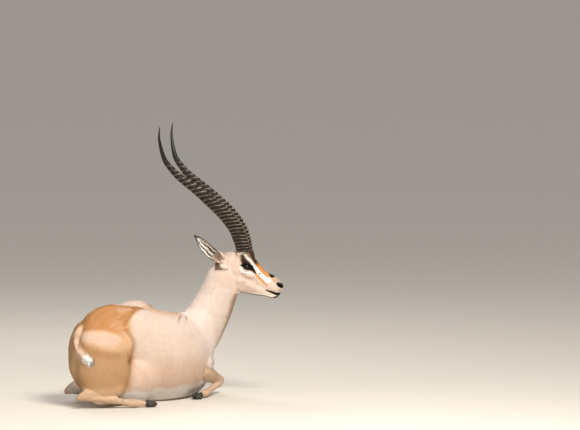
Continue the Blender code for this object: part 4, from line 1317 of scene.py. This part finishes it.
def along_line(points, line):
    """Distance from a bent line in space, and how far along it each point is, from 0 to 1."""
    best = np.full(len(points), 1e9)
    place = np.zeros(len(points))
    for i in range(len(line) - 1):
        way = line[i + 1] - line[i]
        t = np.clip((points - line[i]) @ way / (way @ way), 0, 1)
        gap = np.linalg.norm(points - line[i] - t[:, None] * way, axis=1)
        closer = gap < best
        best[closer] = gap[closer]
        place[closer] = ((i + t) / (len(line) - 1))[closer]
    return best, place


def press_folds(points, normals):
    """The skin's points with the creases of flank, buttock and neck pressed in."""
    u, v = sheet_places(points)
    near, steep = to_front(normals)
    right, past = haunch_mirrored(points)
    mirror_u, mirror_v = sheet_places(right)
    depth = np.zeros(len(points))
    for line, deep, wide in FOLDS:
        own = np.exp(-(from_line(u, v, line)[0] / wide) ** 2) * near
        other = np.exp(-(from_line(mirror_u, mirror_v, line)[0] / wide) ** 2)
        depth += deep * MM * (own * (1 - past) + other * past)
    for line, _, share in WRINKLES:
        gap, place = from_line(u, v, line)
        ends = np.sin(math.pi * np.clip(place, 0.1, 0.9))
        depth += WRINKLE_DEPTH * MM * share * np.exp(-(gap / 4.5) ** 2) * steep * ends
    return points - normals * depth[:, None]


def tuft_shape():
    """One tuft of hair along x, three-sided and tapered: along, across and thickness, and its triangles."""
    bm = bmesh.new()
    bmesh.ops.create_cone(bm, cap_ends=True, cap_tris=True, segments=3, radius1=0.5, radius2=0.0, depth=1.0)
    every = bm.verts[:] + bm.edges[:] + bm.faces[:]
    bmesh.ops.bisect_plane(bm, geom=every, plane_co=(0, 0, -0.05), plane_no=(0, 0, 1))
    bmesh.ops.triangulate(bm, faces=bm.faces)
    bm.verts.ensure_lookup_table()
    shape = np.array([(v.co.z + 0.5, v.co.x, v.co.y) for v in bm.verts])
    faces = np.array([[v.index for v in f.verts] for f in bm.faces])
    bm.free()
    wide = np.interp(shape[:, 0], (0.0, 0.45, 1.0), (0.9, 1.7, 0.0))
    across = shape[:, 1:] / np.maximum(np.linalg.norm(shape[:, 1:], axis=1), 1e-6)[:, None] * 0.5
    shape[:, 1:] = across * wide[:, None]
    return shape, faces


def tile_mesh(name, faces, places, uvs, colours, leans):
    """A mesh of many alike small closed shapes, with a colour, unwrap place and normal for each point."""
    count, size = places.shape[:2]
    mesh = bpy.data.meshes.new(name)
    mesh.vertices.add(count * size)
    mesh.vertices.foreach_set("co", places.reshape(-1).astype(np.float32))
    every = (faces[None] + (np.arange(count) * size)[:, None, None]).reshape(-1, 3)
    mesh.loops.add(every.size)
    mesh.loops.foreach_set("vertex_index", every.reshape(-1).astype(np.int32))
    mesh.polygons.add(len(every))
    mesh.polygons.foreach_set("loop_start", (np.arange(len(every)) * 3).astype(np.int32))
    mesh.update(calc_edges=True)
    unwrap = mesh.uv_layers.new(name="OFBake")
    unwrap.uv.foreach_set("vector", uvs.reshape(-1, 2)[every.reshape(-1)].reshape(-1).astype(np.float32))
    paint(mesh, colours.reshape(-1, 3))
    mesh.shade_smooth()
    mesh.normals_split_custom_set_from_vertices(unit(leans.reshape(-1, 3)).tolist())
    return shown(bpy.data.objects.new(name, mesh))


def paint(mesh, colours):
    """Stores the coat's colour at each point of a mesh."""
    layer = mesh.color_attributes.new("coat_colour", "FLOAT_COLOR", "POINT")
    full = np.ones((len(mesh.vertices), 4), np.float32)
    full[:, :3] = colours
    layer.data.foreach_set("color", full.reshape(-1))


def skin_unwrap(skin):
    """A light copy of the skin, unwrapped by its own shape: its tree, triangles, points and unwrap places."""
    small = shown(bpy.data.objects.new("unwrap", skin.data.copy()))
    thin = small.modifiers.new("Thin", "DECIMATE")
    thin.ratio = UNWRAP_RATIO
    settle(small)
    bpy.context.view_layer.objects.active = small
    bpy.ops.object.select_all(action="DESELECT")
    small.select_set(True)
    bpy.ops.object.mode_set(mode="EDIT")
    bpy.ops.mesh.select_all(action="SELECT")
    bpy.ops.uv.smart_project(angle_limit=math.radians(66), island_margin=0.003)
    bpy.ops.object.mode_set(mode="OBJECT")
    mesh = small.data
    points, tris = points_of(mesh), triangles_of(mesh)
    loops = numbers(mesh.loop_triangles, "loops", 3, np.int32)
    flat = numbers(mesh.uv_layers.active.uv, "vector", 2)
    tree = BVHTree.FromPolygons(points.tolist(), tris.tolist(), all_triangles=True)
    bpy.data.objects.remove(small)
    return tree, points, tris, flat[loops]


def unwrap_places(roots, unwrap):
    """The place on the skin's unwrap nearest to each root."""
    tree, points, tris, flat = unwrap
    found = [tree.find_nearest(Vector(p)) for p in roots]
    face = np.array([f[2] for f in found])
    spot = np.array([f[0] for f in found])
    a, b, c = (points[tris[face, i]] for i in range(3))
    normal = np.cross(b - a, c - a)
    area = np.maximum((normal ** 2).sum(axis=1), 1e-18)
    wa = (np.cross(b - spot, c - spot) * normal).sum(axis=1) / area
    wb = (np.cross(c - spot, a - spot) * normal).sum(axis=1) / area
    share = np.clip(np.stack([wa, wb, 1 - wa - wb], axis=1), 0, 1)
    share /= share.sum(axis=1)[:, None]
    return (flat[face] * share[:, :, None]).sum(axis=1)


def seed_roots(skin, length, draw, count):
    """Roots of tufts spread over the skin, closer where the hair is shorter: triangle and place in it."""
    points = points_of(skin.data)
    tris = triangles_of(skin.data)
    a, b, c = (points[tris[:, i]] for i in range(3))
    area = np.linalg.norm(np.cross(b - a, c - a), axis=1) / 2
    size = length[tris].mean(axis=1)
    middle = (a + b + c) / 3
    weight = area * (0.010 / size) ** 1.15
    weight *= np.where(middle[:, 2] < 0.004, 0.0, 1.0)
    chosen = draw.choice(len(tris), size=count, p=weight / weight.sum())
    r1, r2 = np.sqrt(draw.random(count)), draw.random(count)
    share = np.stack([1 - r1, r1 * (1 - r2), r1 * r2], axis=1)
    return tris[chosen], share


def tuft_roots(skin, lie, length, depth, draw):
    """Roots of tufts beside the eyes' balls: at each the place, normal, lie, hair length and coat depth."""
    corners, share = seed_roots(skin, length, draw, COAT_TUFTS)

    def at(values):
        return (values[corners] * (share if values.ndim == 1 else share[:, :, None])).sum(axis=1)

    root, normal = at(points_of(skin.data)), unit(at(normals_of(skin.data)))
    on_head = into(head, root)
    on_eye = np.min([np.linalg.norm(on_head - np.array(eye_centre(s)), axis=1) for s in (-1, 1)], axis=0)
    keep = on_eye > EYE_RADIUS + 0.004
    return [rows[keep] for rows in (root, normal, at(lie), at(length), at(depth))]


def coat_meshes(root, faces, places, uvs, colours, leans):
    """The tufts as one mesh for each part of the coat, or several where there would be too many triangles."""
    where = part_of(root)
    made = []
    for number, word in enumerate(COAT_PARTS):
        chosen = np.nonzero(where == number)[0]
        pieces = max(1, math.ceil(len(chosen) * len(faces) / COAT_PIECE_TRIANGLES))
        for i in range(pieces):
            own = chosen[i::pieces]
            name = "coat_" + word + (f"_{i + 1}" if pieces > 1 else "")
            made.append(tile_mesh(name, faces, places[own], uvs[own], colours[own], leans[own]))
    return made


def grow_coat(skin, lie, length, depth, leaves, unwrap):
    """The short coat as thin tufts that overlap and follow the lie of the hair."""
    draw = np.random.default_rng(COAT_SEED)
    root, normal, way, length, depth = tuft_roots(skin, lie, length, depth, draw)
    way += draw.normal(0, 0.07, way.shape)
    way = unit(way - normal * (way * normal).sum(axis=1)[:, None])
    across = np.cross(normal, way)
    count = len(root)
    long = length * draw.uniform(0.75, 1.2, count)
    deep = depth * draw.uniform(0.8, 1.12, count)
    wide = 0.085 * length * draw.uniform(0.75, 1.25, count)
    shape, faces = tuft_shape()
    t, a, b = shape.T
    rise = deep[:, None] * (1 - (1 - t[None]) ** 2) - 0.0005
    places = (
        root[:, None]
        + way[:, None] * (long[:, None] * t[None])[..., None]
        + across[:, None] * (wide[:, None] * a[None])[..., None]
        + normal[:, None] * (rise + 0.25 * wide[:, None] * b[None])[..., None]
    )
    places[..., 2] = np.maximum(places[..., 2], 0.0004)
    near = coat_colours(root, normal, leaves)
    far = coat_colours(root + way * (0.8 * long)[:, None], normal, leaves)
    mixed = near[:, None] + (far - near)[:, None] * t[None, :, None]
    shade = np.interp(t, (0, 0.5, 1), (0.95, 1.0, 1.03))[None, :] * draw.normal(1.0, 0.06, count)[:, None]
    leans = normal[:, None] + 0.30 * (across[:, None] * a[None, :, None] + normal[:, None] * b[None, :, None])
    spot = unwrap_places(root, unwrap)
    uvs = spot[:, None] + np.stack([t - 0.5, a + 0.5 * b], axis=1)[None] * 0.003
    return coat_meshes(root, faces, places, uvs, mixed * shade[..., None], leans)


def part_of(points):
    """Which part of the coat each root belongs to: 0 head, 1 neck, 2 chest, 3 barrel, 4 rump."""

    def ahead(place, way):
        return (points - np.array(place)) @ np.array(way) > 0

    nape = ahead((0.194, 0.207, 0.478), (0.42, -0.02, 0.91))
    neck = ahead((0.118, 0.256, 0.305), (0.40, -0.02, 0.90))
    front = ahead((0.000, 0.165, 0.0), (0.50, 0.866, 0.0))
    middle = ahead((-0.160, -0.030, 0.0), (0.85, 0.53, 0.0))
    out = np.where(middle, 3, 4)
    out = np.where(front, 2, out)
    out = np.where(neck & (points[:, 2] > 0.25), 1, out)
    return np.where(nape, 0, out)


def horn_profile(where):
    """Height of the rings along a horn, from 0 in a groove to 1 on a crest, and the ring's number."""
    share = np.clip(where / HORN_RINGED, 0, 0.9999)
    ring = (np.sqrt(0.36 + 1.6 * share) - 0.6) / 0.8 * HORN_RINGS
    phase = ring % 1.0
    crest = np.where(phase < 0.62, phase / 0.62, (1 - phase) / 0.38)
    crest = np.sin(crest * math.pi / 2) ** 1.4
    fade = smooth_step((HORN_RINGED - where) / 0.03) * smooth_step(where / 0.012)
    return crest * fade, np.floor(ring)


def horn_ridges(where, angle):
    """At places along and round a horn: how far its rings stand out, their height and their number."""
    draw = np.random.default_rng(HORN_SEED)
    uneven = draw.uniform(0.75, 1.15, HORN_RINGS + 1)
    crest, ring = horn_profile(where)
    stand = 0.165 * (1 - 0.25 * ring / HORN_RINGS) * uneven[ring.astype(int)]
    ridge = np.where(where > HORN_RINGED, 0.0, (crest * 1.5 - 0.5) * stand)
    ridge += 0.012 * np.sin(angle * 9 + ring * 1.7) * crest + 0.006 * np.sin(angle * 23 + where * 60)
    return ridge, crest, ring


def horn(name, side):
    """A horn with its rings, closer together at the root. Each ring leans forward and down."""
    around, rows = 56, 640
    bm = bmesh.new()
    bmesh.ops.create_uvsphere(bm, u_segments=around, v_segments=rows, radius=1.0)
    sphere = np.array([v.co for v in bm.verts])
    row = np.round(np.arccos(np.clip(sphere[:, 2], -1, 1)) / math.pi * rows)
    angle = np.arctan2(sphere[:, 1], sphere[:, 0])
    front, out = np.cos(angle), np.sin(angle)
    where = row / rows
    deep = np.interp(where, HORN_ALONG, HORN_DEEP)
    wide = np.interp(where, HORN_ALONG, HORN_WIDE)
    ridge, crest, ring = horn_ridges(where, angle)
    lean = -HORN_LEAN * np.minimum(1.0, where / 0.3) * front * deep / HORN_LENGTH
    lean += 0.10 * np.abs(out) ** 2 * deep / HORN_LENGTH
    at = np.clip(where + lean, 0.0, 0.999)
    centre = horn_axis(side, at)
    along = unit(horn_axis(side, np.minimum(at + 0.004, 1.0)) - centre)
    left = unit(np.array((0, 1, 0)) - along * along[:, 1:2])
    back = np.cross(along, left)
    swell = 1 + ridge * (0.65 + 0.35 * front)
    cap = np.sqrt(np.clip(1 - ((where - 0.985) / 0.015).clip(0, 1) ** 2, 0, 1))
    cap = np.where(row == 0, 0, cap)
    place = centre - back * (front * deep * swell * cap)[:, None] + left * (out * wide * swell * cap)[:, None]
    for vert, co in zip(bm.verts, placed_by(head, place)):
        vert.co = co
    made = shown(closed_object(name, bm))
    paint(made.data, np.stack([crest * (0.80 + 0.20 * np.abs(front)), where, ring / HORN_RINGS], axis=1))
    made.data.shade_smooth()
    return made


def eyeball(name, side):
    """A wet eye with its bulging front, dark iris and level pupil."""
    bm = bmesh.new()
    bmesh.ops.create_uvsphere(bm, u_segments=64, v_segments=48, radius=1.0)
    out = np.array(Vector((0.30, side * 0.93, 0.04)).normalized())
    place = np.array([v.co for v in bm.verts])
    front = place @ out
    swell = 1 + 0.045 * smooth_step((front - 0.55) / 0.35)
    for vert, co, grow in zip(bm.verts, place, swell):
        vert.co = head @ (eye_centre(side) + Vector(co) * EYE_RADIUS * float(grow))
    made = shown(object_from(name, bm))
    level = np.array(Vector((0.93, -side * 0.30, -0.42)).normalized())
    level = level - out * (level @ out)
    upright = np.cross(out, level)
    a, b = place @ level, place @ upright
    pupil = smooth_step((1.0 - np.hypot(a / 0.36, b / 0.16)) / 0.25 + 0.3) * (front > 0)
    iris = smooth_step((0.62 - np.hypot(a, b)) / 0.06) * (front > 0)
    paint(made.data, np.stack([pupil, iris, np.hypot(a, b)], axis=1))
    made.data.shade_smooth()
    return made


def hooves():
    """The cloven hooves: a name and an object for each half."""
    made = []
    for kind, frame_, table in (("hind", pelvis, HIND_JOINTS), ("fore", chest, FORE_JOINTS)):
        for word in ("right", "left"):
            order = ("inner", "outer") if word == "left" else ("outer", "inner")
            for place, claw in zip(order, toe_pair(frame_, *table[word][-2:])):
                name = f"hoof_{kind}_{word}_{place}"
                points = points_of(claw.data)
                points[:, 2] = np.maximum(points[:, 2], 0.0)
                move_points(claw.data, points)
                claw.name = claw.data.name = "horny_" + name
                claw.data.shade_smooth()
                made.append((name, shown(claw)))
    return made


class Wire:
    """A socket's value, with Python's operators standing for Math nodes."""

    def __init__(self, tree, socket):
        self.tree = tree
        self.socket = socket

    def math(self, operation, *values):
        return self.tree.node("ShaderNodeMath", {"operation": operation}, dict(enumerate((self, *values))))

    def __add__(self, other):
        return self.math("ADD", other)

    __radd__ = __add__

    def __mul__(self, other):
        return self.math("MULTIPLY", other)

    __rmul__ = __mul__

    def __sub__(self, other):
        return self.math("SUBTRACT", other)

    def __rsub__(self, other):
        return self.tree.node("ShaderNodeMath", {"operation": "SUBTRACT"}, {0: other, 1: self})

    def clamped(self, low, high):
        """0 at low and 1 at high, eased between."""
        settings = {"interpolation_type": "SMOOTHSTEP"}
        values = {"Value": self, "From Min": low, "From Max": high}
        return self.tree.node("ShaderNodeMapRange", settings, values)


class Finish:
    """A material, and its nodes."""

    def __init__(self, name, **constants):
        self.material = bpy.data.materials.new(name)
        self.material.use_nodes = True
        self.nodes = self.material.node_tree.nodes
        self.links = self.material.node_tree.links
        self.shader = self.nodes["Principled BSDF"]
        for socket, value in constants.items():
            self.shader.inputs[socket.replace("_", " ")].default_value = value

    def node(self, kind, settings=None, values=None, output=0):
        made = self.nodes.new(kind)
        for setting, value in (settings or {}).items():
            if setting == "stops":
                self.stops(made.color_ramp, value)
            else:
                setattr(made, setting, value)
        for socket, value in (values or {}).items():
            if isinstance(value, Wire):
                self.links.new(value.socket, made.inputs[socket])
            else:
                made.inputs[socket].default_value = value
        return Wire(self, made.outputs[output])

    def stops(self, ramp, stops):
        while len(ramp.elements) < len(stops):
            ramp.elements.new(0.5)
        for element, (place, colour) in zip(ramp.elements, stops):
            element.position = place
            element.color = (*colour, 1.0)

    def place(self):
        return self.node("ShaderNodeTexCoord", output="Object")

    def stored(self):
        return self.node("ShaderNodeAttribute", {"attribute_name": "coat_colour"}, output="Color")

    def parts(self, colour):
        """The three numbers of a stored colour."""
        return [self.node("ShaderNodeSeparateColor", values={0: colour}, output=i) for i in range(3)]

    def noise(self, scale, detail=3.0, roughness=0.5, at=None):
        values = {"Scale": scale, "Detail": detail, "Roughness": roughness, "Vector": at or self.place()}
        return self.node("ShaderNodeTexNoise", values=values)

    def mix(self, share, a, b, how="MIX"):
        settings = {"data_type": "RGBA", "blend_type": how}
        a, b = (value if isinstance(value, Wire) else (*value, 1.0) for value in (a, b))
        values = {0: share, 6: a, 7: b}
        return self.node("ShaderNodeMix", settings, values, output=2)

    def bump(self, height, strength, distance):
        values = {"Height": height, "Strength": strength, "Distance": distance}
        return self.node("ShaderNodeBump", values=values)

    def give(self, **sockets):
        for socket, wire in sockets.items():
            self.links.new(wire.socket, self.shader.inputs[socket.replace("_", " ")])
        return self.material


def skin_finish(name, bump):
    """Short hair: the stored colour, flecked, over a fine bump."""
    made = Finish(name, Specular_IOR_Level=0.10)
    colour = made.stored()
    fine = made.noise(900.0, 2.0)
    broad = made.noise(26.0, 3.0)
    colour = made.mix(fine.clamped(0.35, 0.75) * 0.16, colour, (0.30, 0.17, 0.09), "MULTIPLY")
    colour = made.mix(broad.clamped(0.40, 0.80) * 0.10, colour, (0.60, 0.42, 0.30), "MULTIPLY")
    speck = made.noise(210.0, 3.0, 0.7)
    colour = made.mix(speck.clamped(0.46, 0.72) * 0.30, colour, (0.62, 0.46, 0.33), "MULTIPLY")
    rough = 0.62 + 0.16 * fine
    grain = made.noise(620.0, 4.0, 0.6)
    return made.give(Base_Color=colour, Roughness=rough, Normal=made.bump(grain, bump, 0.0006))


def horn_finish():
    """Dark horn, greyer and scuffed on the rings' crests, smooth and black at the tip."""
    made = Finish("horn_ringed", Specular_IOR_Level=0.30)
    crest, along, _ = made.parts(made.stored())
    streak = made.noise(260.0, 4.0, 0.65)
    mottle = made.noise(85.0, 3.0)
    worn = crest.clamped(0.66, 1.0) * mottle.clamped(0.28, 0.56) * (1 - along.clamped(0.66, 0.84))
    colour = made.mix(worn * 0.9, (0.010, 0.0065, 0.0045), (0.28, 0.20, 0.135))
    colour = made.mix(streak.clamped(0.5, 0.8) * 0.40, colour, (0.045, 0.031, 0.023))
    rough = 0.60 - 0.26 * along.clamped(0.70, 0.90) - 0.10 * crest
    return made.give(Base_Color=colour, Roughness=rough, Normal=made.bump(streak, 0.35, 0.0008))


def eye_finish():
    """A wet brown-black eye."""
    made = Finish("eye_wet", Coat_Weight=0.12, Coat_Roughness=0.02, Specular_IOR_Level=0.12)
    pupil, iris, _ = made.parts(made.stored())
    rays = made.noise(420.0, 3.0)
    brown = made.mix(rays.clamped(0.3, 0.7), (0.008, 0.004, 0.002), (0.026, 0.012, 0.006))
    colour = made.mix(iris, (0.004, 0.003, 0.003), brown)
    colour = made.mix(pupil, colour, (0.003, 0.003, 0.004))
    return made.give(Base_Color=colour, Roughness=0.05 + 0.10 * rays)


def hoof_finish():
    """Hoof horn with growth lines across it and a scuffed edge."""
    made = Finish("hoof_horn", Specular_IOR_Level=0.45)
    waves = {"Scale": 90.0, "Distortion": 3.0, "Vector": made.place()}
    lines = made.node("ShaderNodeTexWave", {"bands_direction": "X"}, waves, output=1)
    dust = made.noise(120.0, 4.0, 0.6)
    colour = made.mix(lines * 0.4, (0.022, 0.018, 0.015), (0.060, 0.048, 0.040))
    colour = made.mix(dust.clamped(0.45, 0.8) * 0.5, colour, (0.22, 0.17, 0.12))
    return made.give(Base_Color=colour, Roughness=0.42 + 0.3 * dust, Normal=made.bump(lines, 0.3, 0.0004))


def thin_skin(skin):
    """Thins the skin out to its budget of triangles."""
    coarse_group(skin)
    thin = skin.modifiers.new("Thin", "DECIMATE")
    thin.ratio = SKIN_TRIANGLES / sum(len(p.vertices) - 2 for p in skin.data.polygons)
    thin.vertex_group = "coarse"
    thin.use_collapse_triangulate = True
    settle(skin)
    skin.vertex_groups.clear()


def groom(skin, leaves):
    """Presses the folds into the skin and paints it. Gives its hair's lie, length and depth."""
    points, normals = points_of(skin.data), normals_of(skin.data)
    lie, length, depth = lie_of(points, normals, lie_guides(), leaves)
    points = press_folds(points, normals) - normals * depth[:, None]
    points[:, 2] = np.maximum(points[:, 2], 0.0)
    move_points(skin.data, points)
    paint(skin.data, coat_colours(points, normals_of(skin.data), leaves))
    skin.data.shade_smooth()
    return lie, length, depth


def both(node, name, make):
    """A right and a left piece: the node that each replaces and its object."""
    return [(f"{node}_{word}", make(f"{name}_{word}", side)) for word, side in (("right", -1), ("left", 1))]


def give(obj, material):
    obj.data.materials.clear()
    obj.data.materials.append(material)
    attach(obj, "root")


def floor_finish():
    """A matt pale floor with a faint cloud in it."""
    made = Finish("pale_floor", Roughness=0.8)
    cloud = made.noise(3.0, 2.0)
    return made.give(Base_Color=made.mix(cloud * 0.10, FLOOR, tuple(c * 0.8 for c in FLOOR)))


def light_up():
    """Soft lamps from the front right, the front left and behind, and a grey world."""
    for name, place, size, power, colour in LAMPS:
        data = bpy.data.lights.new(name, "AREA")
        data.size = size
        data.energy = power
        data.color = colour
        lamp = shown(bpy.data.objects.new(name, data))
        lamp.location = place
        lamp.rotation_euler = (Vector((0.05, 0.05, 0.35)) - Vector(place)).to_track_quat("-Z", "Y").to_euler()
    world = bpy.data.worlds.new("studio")
    bpy.context.scene.world = world
    world.use_nodes = True
    world.node_tree.nodes["Background"].inputs[0].default_value = (0.93, 0.93, 0.95, 1.0)
    world.node_tree.nodes["Background"].inputs[1].default_value = 0.45
    bpy.context.scene.view_settings.view_transform = "Standard"


def stage_and_light(slide):
    """A plain pale floor, soft studio light, and a camera at the photograph's angle."""
    bm = bmesh.new()
    bmesh.ops.create_grid(bm, x_segments=1, y_segments=1, size=30.0)
    floor = shown(object_from("floor", bm))
    floor.data.materials.append(floor_finish())
    floor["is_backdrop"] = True
    light_up()
    camera = shown(bpy.data.objects.new("camera", bpy.data.cameras.new("camera")))
    bpy.context.scene.camera = camera
    tilt = math.radians(CAMERA_TILT)
    back = Vector((0.0, -math.cos(tilt), math.sin(tilt)))
    camera.data.lens = CAMERA_LENS
    camera.data.clip_start, camera.data.clip_end = 1.0, 500.0
    camera.location = CAMERA_AIM + slide + back * CAMERA_AWAY
    camera.rotation_euler = (-back).to_track_quat("-Z", "Y").to_euler()


head = animal_frame(HEAD_AT, HEAD_HEADING)
chest = animal_frame(CHEST_AT, CHEST_HEADING)
pelvis = animal_frame(PELVIS_AT, PELVIS_HEADING)
low, high = (Vector(corner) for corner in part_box("eye_right"))
slide = (low + high) / 2 - head @ eye_centre(-1)

skin, leaves = whole_skin()
thin_skin(skin)
lie, length, depth = groom(skin, leaves)
coats = grow_coat(skin, lie, length, depth, leaves, skin_unwrap(skin))
horns = both("horn", "ringed_horn", horn)
eyes = both("eye", "wet_eye", eyeball)
claws = hooves()

short_hair = skin_finish("short_hair", 0.35)
tuft_hair = skin_finish("tuft_hair", 0.10)
horn_surface, eye_surface, hoof_surface = horn_finish(), eye_finish(), hoof_finish()
for obj in [skin, *coats, *(o for _, o in horns + eyes + claws)]:
    obj.data.transform(Matrix.Translation(slide))
give(skin, short_hair)
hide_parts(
    "head", "neck", "chest", "barrel", "rump", "tail", "ear_left", "ear_right",
    "leg_fore_left", "leg_fore_right", "leg_hind_left", "leg_hind_right",
)
for coat in coats:
    give(coat, tuft_hair)
for node, obj in horns:
    give(obj, horn_surface)
    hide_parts(node)
for node, obj in eyes:
    give(obj, eye_surface)
    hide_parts(node)
for node, obj in claws:
    give(obj, hoof_surface)
    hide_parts(node)
stage_and_light(slide)

low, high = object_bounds()
